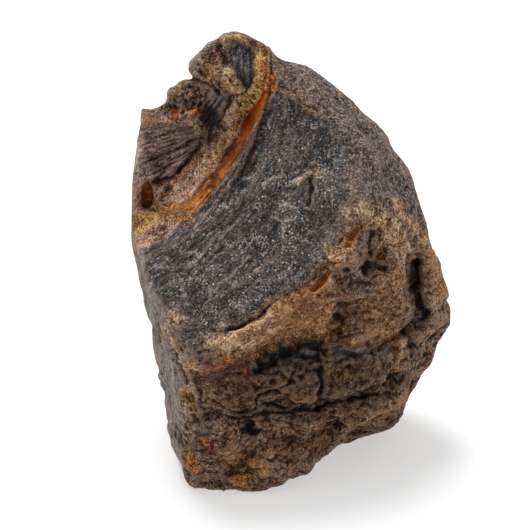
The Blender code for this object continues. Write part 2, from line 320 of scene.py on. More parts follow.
class Survey:
    """What is known of each point of the stone: its place, its normal and its share of each region.

    exact is where the camera sees it, and seen is the same with a waver, for edges that aren't straight.
    Pairs of measures, in mm but for the angle turn, say where it is across and along what runs over the
    surface: rib and arc for the break, turn and reach for the fan, across and along for the dark plates,
    sideways and down for the facet.
    """

    def __init__(self, stone):
        self.places = points_of(stone)
        self.normals = points_of(stone, "normal")
        self.links = links_of(stone)
        self.facing = smooth_step(0.0, 0.2, -self.normals @ LOOKS_ALONG)
        self.exact = seen_at(self.places)
        self.seen = self.exact + self.waver(2.4, 3.0, 61) + self.waver(0.9, 2.0, 63)
        self.from_break()
        self.from_fan_focus()
        self.across = (self.exact @ (0.8, 0.6)) * MM_PER_PIXEL
        self.along = (self.exact @ (-0.6, 0.8)) * MM_PER_PIXEL
        self.sideways, self.down = self.exact.T * MM_PER_PIXEL
        self.height = self.places @ SMOOTH_NORMAL - SMOOTH_DISTANCE
        self.lift = wall_lift(self)
        self.find_regions()

    def find_regions(self):
        """The share of each region at each point. What no region takes is rough crust."""
        below_break = 1.6 * smooth_step(195, 215, self.exact[:, 1])
        near_face = smooth_step(-1.5, -0.5, self.height + self.lift + below_break)
        self.smooth = self.region(SMOOTH_FACE_OUTLINE, 3) * near_face
        self.fan = self.region(FAN_OUTLINE, 2.5)
        self.slope = np.maximum(self.region(SLOPE_OUTLINE, 2.5), self.region(TAN_RIM_OUTLINE, 2.5))
        self.lip = self.region(LIP_OUTLINE, 4)
        self.mottled = np.maximum(self.region(MOTTLED_OUTLINE, 5), self.region(KNOB_OUTLINE, 3))
        self.facet = self.region(FACET_OUTLINE, 1.5)
        self.crumbly = np.maximum(self.region(CRUMBLY_OUTLINE, 2), 0.55 * self.region(BAND_END_OUTLINE, 2))
        self.plate = self.region(PLATE_OUTLINE, 1.5)
        self.side_knob = self.region(SIDE_KNOB_OUTLINE, 2.5)
        self.shoulder = self.upper_back(self.region(SHOULDER_OUTLINE, 4))
        self.left_side = self.left_of_corner(self.region(LEFT_SIDE_OUTLINE, 3))
        named = self.smooth + self.fan + self.slope + self.shoulder + self.left_side
        self.rough = np.clip(1 - named - 0.6 * self.mottled - 0.6 * self.lip, 0, 1)

    def waver(self, wavelength, pixels, seed):
        """A shift of about that many pixels, from noise of that wavelength in mm."""
        across = plain_noise(self.places, wavelength, seed)
        down = plain_noise(self.places, wavelength, seed + 1)
        return pixels * np.stack((across, down), axis=1)

    def from_break(self):
        """rib: distance inside the break's arc. arc: distance along it."""
        outward = self.places - BREAK_CENTRE
        right, up = outward @ FACE_RIGHT, outward @ FACE_UP
        self.rib = BREAK_RADIUS - np.hypot(right, up)
        self.arc = BREAK_RADIUS * np.arctan2(up, right)

    def from_fan_focus(self):
        """turn: angle round the point that the ridges of the fan spread from. reach: mm away from it."""
        out = self.exact - FAN_FOCUS
        self.turn = np.arctan2(out[:, 1], -out[:, 0])
        self.reach = np.hypot(out[:, 0], out[:, 1]) * MM_PER_PIXEL

    def region(self, outline, blur):
        """The share of a region of the front, blurred over that many pixels each way."""
        return share_inside(self.seen, outline, blur) * self.facing

    def upper_back(self, seen_part):
        """The shoulder goes on over the top, down to a wavy line on the back."""
        wave = plain_noise(self.places, 14.0, 5) * 6
        high = smooth_step(24, 42, self.places[:, 2] + wave)
        return np.maximum(seen_part, high * (1 - self.facing))

    def left_of_corner(self, seen_part):
        """The left side goes on round, as far as the back."""
        leftward = smooth_step(0.45, 0.7, -self.normals[:, 0])
        low = 1 - smooth_step(28, 38, self.places[:, 2])
        return np.maximum(seen_part, leftward * low * (1 - self.facing))


# --- relief of each region: heights in mm -------------------------------------------------------------


def crumbs(places, seed):
    """Grainy lumps, about a millimetre wide."""
    return plain_noise(places, 1.1, seed) + 0.6 * plain_noise(places, 0.55, seed + 1)


def knobs(places, size, seed):
    """Rounded lumps with creases between them, from about -0.5 to 0.5."""
    return 0.45 - cell_noise(places, size, seed)


def rough_relief(survey):
    """Crust like cinder laid down in uneven beds: lumps within lumps, gaps between them, pits and crumbs."""
    places = survey.places
    drift = np.stack([plain_noise(places, 5.0, seed) for seed in (1, 2, 3)], axis=1)
    quick = np.stack([plain_noise(places, 1.6, seed) for seed in (91, 92, 93)], axis=1)
    bedded = (places + 1.4 * drift + 0.5 * quick) * np.array((0.8, 0.8, 1.5))
    patchy = smooth_step(-0.25, 0.3, drift[:, 0])
    gaps = smooth_step(0.13, 0.0, np.abs(plain_noise(bedded, 3.3, 5))) * patchy
    pits = smooth_step(0.42, 0.12, cell_noise(places + 0.5 * quick, 1.9, 8)) * patchy
    crumbly = 0.4 + 0.6 * smooth_step(-0.2, 0.3, drift[:, 1])
    relief = 0.4 * plain_noise(bedded, 4.2, 4) + 0.6 * knobs(bedded, 2.8, 6)
    relief += crumbly * (0.4 * knobs(places + 0.4 * quick, 1.1, 9) + 0.12 * crumbs(places, 7))
    return relief - 0.15 * gaps - 0.3 * pits


def stretched(places, along, shrink):
    """Places with the lengths along one direction shrunk, so that noise read there is drawn out along it."""
    return places - np.outer(places @ along, along) * (1 - shrink)


def ribbed(survey, shrink):
    """Places laid out by the break's arc, so that noise read there is drawn out round it."""
    height = survey.places @ SMOOTH_NORMAL
    return np.stack((survey.rib, survey.arc * shrink, height), axis=1)


def smooth_relief(survey):
    """Low streaks that run round the break, finer next to it, with shallow chips."""
    streaks = plain_noise(ribbed(survey, 0.14), 0.7, 11)
    fine = plain_noise(ribbed(survey, 0.15), 0.45, 14)
    near_break = np.exp(-((survey.rib + 1.4) / 2.2) ** 2)
    chips = smooth_step(0.05, 0.3, plain_noise(survey.places, 2.0, 12))
    bands = plain_noise(ribbed(survey, 0.25), 1.8, 15)
    relief = 0.06 * bands + 0.025 * streaks + (0.03 + 0.05 * near_break) * fine
    relief -= 0.1 * chips
    return relief + 0.12 * plain_noise(survey.places, 5.0, 13)


def shoulder_relief(survey):
    """Leathery: low swells, thin wrinkles and crumbs."""
    wrinkles = smooth_step(0.25, 0.0, np.abs(plain_noise(survey.places, 2.0, 21)))
    return 0.15 * plain_noise(survey.places, 4.0, 22) - 0.05 * wrinkles + 0.1 * crumbs(survey.places, 23)


def side_relief(survey):
    """Fine upright grain, with chips."""
    drawn = stretched(survey.places, UPRIGHT, 0.18)
    chips = smooth_step(0.1, 0.4, plain_noise(survey.places, 1.8, 33))
    return 0.1 * plain_noise(drawn, 0.8, 31) + 0.1 * plain_noise(survey.places, 5.0, 32) - 0.07 * chips


def saw_tooth(values, lean=0.3):
    """Ridges one apart, each steep on one side."""
    share = values % 1.0
    return np.where(share < lean, share / lean, (1 - share) / (1 - lean))


def fan_relief(survey):
    """Hackles that spread from one point."""
    wobble = plain_noise(survey.places, 4.0, 41) * 0.12
    coarse = saw_tooth(survey.turn * 7.5 + wobble)
    fine = saw_tooth(survey.turn * 24.0 + 2.3 * wobble)
    return 0.1 * (coarse - 0.5) + 0.09 * (fine - 0.5) + 0.04 * crumbs(survey.places, 42)


def slope_relief(survey):
    """Sugary, in low ribs that run round the break."""
    along = plain_noise(ribbed(survey, 0.25), 0.9, 51)
    return 0.12 * along + 0.1 * crumbs(survey.places, 52)


def facet_relief(survey):
    """Glassy and stringy, sunk a little below what is round it."""
    strings = plain_noise(stretched(survey.places, UPRIGHT, 0.15), 0.6, 57)
    return -0.45 + 0.12 * strings


def plate_relief(survey):
    """Glassy streaks that run down to the left."""
    where = np.stack((survey.across, survey.along * 0.15, np.zeros(len(survey.across))), axis=1)
    return 0.1 + 0.14 * plain_noise(where, 0.6, 58)


def mottled_relief(survey):
    """Small rounded lumps, crumbly all over."""
    lumps = knobs(survey.places, 1.7, 59)
    return 0.2 * plain_noise(survey.places, 2.5, 55) + 0.3 * lumps + 0.14 * crumbs(survey.places, 56)


# Cuts in the front, as (route, half width in pixels, depth in mm)
FRONT_CUTS = {
    "line under the smooth face": (((222, 333), (238, 327), (252, 320), (263, 312)), 2.6, 0.8),
    "its thin end": (((263, 312), (277, 302)), 1.4, 0.35),
    "short line left of it": (((198, 352), (207, 350), (215, 348)), 1.8, 0.45),
    "hollow under the lip": (((264, 364), (276, 356), (292, 348), (308, 344), (318, 350)), 7.0, 1.3),
    "its arched rim": (((262, 372), (263, 362), (272, 353), (288, 347)), 2.2, 0.5),
    "lower pocket": (((304, 352), (316, 358), (322, 368)), 4.0, 0.7),
    "upright crack": (((321, 366), (323, 380), (318, 394)), 3.0, 0.8),
    "red brown hollow": (((341, 308), (340, 320), (336, 330)), 7.0, 0.8),
    "its black foot": (((335, 330), (341, 333)), 3.0, 0.6),
    "black pit 1": (((337, 351), (345, 353)), 3.4, 0.8),
    "black pit 2": (((354, 357), (362, 352)), 2.8, 0.7),
    "black pit 3": (((370, 352), (378, 348)), 2.8, 0.6),
    "black pit 4": (((384, 356), (388, 352)), 2.2, 0.4),
    "gully, top": (((414, 266), (415, 276), (416, 288)), 6.5, 1.7),
    "gully, foot": (((417, 290), (421, 302), (424, 314)), 5.5, 1.2),
    "gully, left branch": (((404, 330), (410, 338), (414, 346)), 4.0, 0.9),
    "lens pit": (((366, 269), (374, 265), (384, 268)), 3.6, 0.7),
    "upright slot": (((374, 234), (372, 244), (370, 254)), 1.8, 0.6),
    "small round pit": (((347, 268), (348, 272)), 2.6, 0.7),
    "upper right pit": (((389, 222), (392, 227)), 3.0, 0.4),
    "upper right pit 2": (((401, 222), (404, 228)), 2.4, 0.3),
    "long crack, left": (((293, 411), (303, 408), (318, 407)), 2.4, 1.1),
    "long crack, middle": (((318, 407), (334, 403), (350, 399)), 1.4, 0.4),
    "long crack, right": (((350, 400), (362, 396), (378, 393)), 2.2, 1.0),
    "crescent crack": (((256, 408), (258, 398), (266, 393), (278, 392)), 2.2, 0.9),
    "layer 1": (((213, 402), (228, 410), (246, 412), (262, 407), (276, 404), (290, 409)), 1.6, 0.6),
    "layer 2": (((222, 414), (240, 418), (262, 414), (280, 412), (300, 416)), 1.3, 0.4),
    "layer 3": (((232, 424), (250, 422), (272, 420), (292, 425)), 1.3, 0.35),
    "black pit under the layers": (((249, 428), (254, 433)), 4.0, 1.0),
    "notch over the lobe": (((256, 386), (260, 389)), 3.0, 0.7),
    "low pit": (((228, 475), (236, 471), (244, 472)), 3.4, 0.6),
    "low right crack": (((340, 430), (345, 421), (353, 415)), 1.6, 0.4),
    "curved pit in the smooth face": (((313, 178), (313, 188), (311, 197), (307, 204)), 2.1, 0.6),
    "thin crack on the crease": (((294, 92), (300, 99), (310, 108), (320, 116)), 1.2, 0.35),
    "step in the smooth face": (((214, 296), (230, 286), (247, 277), (258, 266), (278, 256)), 1.4, 0.25),
    "crack by the left corner": (((176, 354), (182, 367), (187, 384)), 1.5, 0.35),
    "left window": (((187, 398), (190, 410), (195, 423)), 5.0, 0.7),
    "low left window": (((187, 454), (191, 463)), 4.0, 0.35),
    "left sliver": (((158, 325), (161, 341)), 1.5, 0.4),
    "left side pits": (((172, 350), (174, 360)), 1.6, 0.3),
    "left side pits, low": (((175, 424), (180, 437), (184, 449)), 2.2, 0.5),
    "groove in the fan, 1": (((150, 137), (170, 133), (192, 128)), 1.5, 0.3),
    "groove in the fan, 2": (((146, 162), (170, 152), (194, 141)), 1.6, 0.3),
    "notch left of the knob": (((184, 76), (190, 81), (200, 84)), 2.6, 0.9),
    "valley of the break": (((201, 146), (192, 156), (184, 166), (170, 177), (158, 182)), 2.6, 0.4),
    "amber spot": (((149, 184), (149, 195), (147, 205)), 4.0, 0.5),
    "notch under the side knob": (((176, 113), (190, 108), (200, 100)), 2.4, 0.3),
    "right of the dark plate": (((230, 96), (228, 108), (220, 122), (210, 132)), 1.8, 0.35),
    "left of the dark plate": (((206, 95), (200, 104), (199, 118)), 1.8, 0.35),
    "dark middle of the knob": (((218, 46), (222, 54), (226, 62)), 3.5, 0.4),
    "under the knob": (((200, 70), (208, 76), (214, 86)), 2.2, 0.5),
    "between the knobs": (((196, 82), (206, 84), (218, 92)), 2.2, 0.6),
}

# Raised places of the front, in the same terms
FRONT_RISES = {
    "lip, left": (((212, 346), (228, 340), (246, 334)), 5.0, 0.5),
    "lip, right": (((262, 326), (284, 318), (300, 308)), 7.0, 0.35),
    "rounded lobe": (((226, 396), (238, 390)), 13.0, 0.5),
    "bright knuckle": (((334, 256), (342, 248)), 5.0, 0.4),
    "knuckle above it": (((362, 204), (368, 212)), 4.0, 0.35),
    "ridge left of the gully": (((402, 232), (406, 246), (407, 262), (408, 290)), 3.5, 0.5),
    "rim right of the gully": (((424, 262), (428, 280), (434, 300)), 4.0, 0.3),
    "ridge above the long crack": (((296, 400), (320, 398), (344, 391)), 4.0, 0.3),
    "knuckle under the crack": (((366, 403), (374, 402)), 4.0, 0.35),
    "rim of the curved pit": (((298, 180), (303, 174), (312, 173), (318, 178), (317, 192)), 2.0, 0.14),
    "corner edge": (((160, 300), (177, 341), (190, 376), (198, 408)), 3.0, 0.25),
    "edge of the valley": (((212, 148), (200, 162), (186, 176)), 3.0, 0.25),
    "low ridge": (((262, 466), (300, 462), (330, 452)), 5.0, 0.25),
    "low ridge, right": (((346, 440), (380, 424), (398, 410)), 5.0, 0.3),
    "tan ridge by the facet": (((216, 74), (228, 82), (238, 98)), 4.0, 0.4),
    "edge of the break": (((260, 114), (250, 136), (239, 158), (226, 180)), 1.8, 0.12),
}


# Notches and bumps of the outline, which go round to the back, in the same terms
OUTLINE_MARKS = {
    "notch under the side knob": (((170, 106), (174, 110)), 3.5, -0.9),
    "notch under the knob": (((188, 76), (194, 82)), 3.5, -1.1),
    "side knob": (((172, 95), (178, 88), (184, 85)), 5.0, 0.7),
    "left cheek of the knob": (((196, 52), (192, 60), (191, 70)), 5.0, 0.5),
    "top of the knob": (((226, 38), (240, 38)), 7.0, 0.6),
    "top left corner": (((139, 116), (148, 114)), 4.0, 0.8),
    "hollow in the left side": (((156, 372), (163, 398)), 9.0, -0.6),
    "bulge of the left side": (((172, 430), (177, 448)), 8.0, 0.5),
    "low right rim": (((282, 480), (306, 468), (330, 456)), 7.0, 0.9),
    "right rim, upper": (((430, 242), (437, 262)), 8.0, 0.7),
    "right rim, lower": (((448, 298), (450, 320)), 7.0, 0.8),
}


def marks(survey, strokes):
    """How far each point is raised or sunk by strokes, in mm, more in some places than in others."""
    total = np.zeros(len(survey.places))
    uneven = 0.75 + 0.9 * plain_noise(survey.places, 1.6, 71)
    for line, half_width, height in strokes.values():
        total += height * fading_from(survey.seen, line, half_width)
    return total * np.clip(uneven, 0.1, 1.3)


# Depth below the smooth face against distance inside the break's arc: as it is to be, and as the solid has it
SHARP_WALL = ((-9.0, 0.0), (-0.05, 0.0), (0.2, 0.55), (1.25, 2.9), (3.0, 3.3), (9.0, 3.3))
SOFT_WALL = (
    (-9.0, 0.0), (-1.0, 0.05), (-0.3, 0.35), (0.4, 1.15), (1.2, 2.3), (2.4, 3.1), (4.0, 3.3), (9.0, 3.3),
)


def wall_lift(survey):
    """How far each point moves along the smooth face's normal to make the break's edge crisp."""
    down = survey.exact[:, 1]
    sharp = np.interp(survey.rib - np.interp(down, *zip(*EDGE_INSET)), *zip(*SHARP_WALL))
    soft = np.interp(survey.rib, *zip(*SOFT_WALL))
    low_enough = 1 - smooth_step(0.6, 1.6, survey.height + soft)
    near = 1 - smooth_step(0.7, 1.2, np.abs(survey.height))
    flatten = -survey.height * smooth_step(-2.6, -1.2, survey.rib) * near
    crisp = 1 - smooth_step(190, 212, down)
    return np.where(survey.rib < -0.05, flatten, soft - sharp) * survey.facing * low_enough * crisp


def crumbled_relief(survey):
    """Small crumbs packed together."""
    return 0.5 * knobs(survey.places, 0.9, 75) + 0.18 * crumbs(survey.places, 76)


def relief_of(survey):
    """The relief of all regions together, low under the clear amber and at the stone's outline."""
    rise = survey.rough * rough_relief(survey)
    rise += survey.smooth * smooth_relief(survey)
    rise += survey.shoulder * shoulder_relief(survey)
    rise += survey.left_side * side_relief(survey)
    rise += survey.fan * fan_relief(survey)
    rise += survey.slope * slope_relief(survey)
    rise += np.maximum(survey.mottled, survey.lip) * mottled_relief(survey)
    crumbled = crumbled_relief(survey)
    rise += survey.facet * (facet_relief(survey) - rise)
    rise += survey.plate * (plate_relief(survey) - rise)
    rise += survey.side_knob * (crumbled - rise)
    rise *= 1 - 0.8 * np.clip(clear_depth(survey) / 0.5, 0, 1)
    rise += survey.crumbly * (0.45 * crumbled - rise)
    return rise * (0.35 + 0.65 * smooth_step(0.0, 0.5, np.abs(survey.normals @ LOOKS_ALONG)))


def sculpt(stone):
    """Raises and cuts the surface, and keeps it above the floor."""
    survey = Survey(stone)
    rise = relief_of(survey)
    rise += survey.facing * (marks(survey, FRONT_RISES) - marks(survey, FRONT_CUTS))
    rise += marks(survey, OUTLINE_MARKS)
    places = survey.places + survey.normals * rise[:, None]
    places += np.outer(survey.lift, SMOOTH_NORMAL)
    places[:, 2] = np.maximum(places[:, 2], 0)
    set_points(stone, places)
    return survey


# --- clear amber -----------------------------------------------------------------------------------

# Where the amber is clear: closed outlines, and how deep one sees into it, in mm, against pixels down
CLEAR_PLACES = {
    "band of the break": (
        CLEAR_BAND_OUTLINE,
        ((90, 0.4), (105, 0.7), (125, 0.8), (142, 0.4), (205, 0.4)),
    ),
    "spot in the fan": (
        ((144, 206), (142, 196), (145, 186), (149, 181), (153, 188), (153, 199), (149, 207)),
        ((180, 0.8), (206, 0.8)),
    ),
    "upper vein": (
        ((346, 247), (349, 238), (357, 227), (360, 231), (355, 241), (350, 248)),
        ((228, 0.6), (247, 0.9)),
    ),
    "lower vein": (
        ((312, 290), (318, 280), (328, 270), (332, 272), (325, 282), (317, 291)),
        ((270, 0.5), (290, 0.9)),
    ),
}

# The edges of the clear places: the share of the waver that they take, and their blur in pixels
CLEAR_WAVER = 0.5
CLEAR_BLUR = 2.2

# How much thicker than its hollow the clear amber is, in mm
BACKING = 0.35

# How far the edge of the clear amber is sunk under the crust, in mm, and the depths that this fades out over
TUCK = 0.22
TUCK_FADE = (0.12, 0.36)
LEAST_DEPTH = 0.12


def clear_depth(survey):
    """How deep the clear amber is at each point, in mm."""
    depth = np.zeros(len(survey.places))
    where = survey.exact + CLEAR_WAVER * (survey.seen - survey.exact)
    for outline, profile in CLEAR_PLACES.values():
        deepest = np.interp(where[:, 1], *zip(*profile))
        depth = np.maximum(depth, deepest * share_inside(where, outline, CLEAR_BLUR))
    return depth * survey.facing


def faces_of(mesh):
    """The points at the corners of each face, by number."""
    corners = np.empty(len(mesh.loops), int)
    mesh.loops.foreach_get("vertex_index", corners)
    starts = np.empty(len(mesh.polygons), int)
    mesh.polygons.foreach_get("loop_start", starts)
    sizes = np.empty(len(mesh.polygons), int)
    mesh.polygons.foreach_get("loop_total", sizes)
    return [corners[start : start + size] for start, size in zip(starts, sizes)]


def clear_shell(stone, depth, outward):
    """A closed piece of clear amber over each clear place, its edge tucked under the crust."""
    covered = depth > LEAST_DEPTH
    faces = [tuple(face) for face in faces_of(stone.data) if covered[face].all()]
    used = sorted({corner for face in faces for corner in face})
    index = {corner: place for place, corner in enumerate(used)}
    faces = [tuple(index[corner] for corner in face) for face in faces]
    edges = {edge for face in faces for edge in zip(face, face[1:] + face[:1])}
    rim = [(a, b) for a, b in edges if (b, a) not in edges]
    surface = points_of(stone)[used]
    outward = outward[used]
    inner = surface - outward * (depth[used] + BACKING)[:, None]
    outer = surface - outward * (TUCK * (1 - smooth_step(*TUCK_FADE, depth[used])))[:, None]
    count = len(used)
    back = [tuple(place + count for place in reversed(face)) for face in faces]
    sides = [(b, a, a + count, b + count) for a, b in rim]
    shell = bpy.data.meshes.new("clear_amber")
    shell.from_pydata(np.vstack((outer, inner)).tolist(), [], faces + back + sides)
    shell.update()
    piece = bpy.data.objects.new("clear_amber", shell)
    bpy.context.scene.collection.objects.link(piece)
    return piece


# --- attributes that the materials read --------------------------------------------------------------

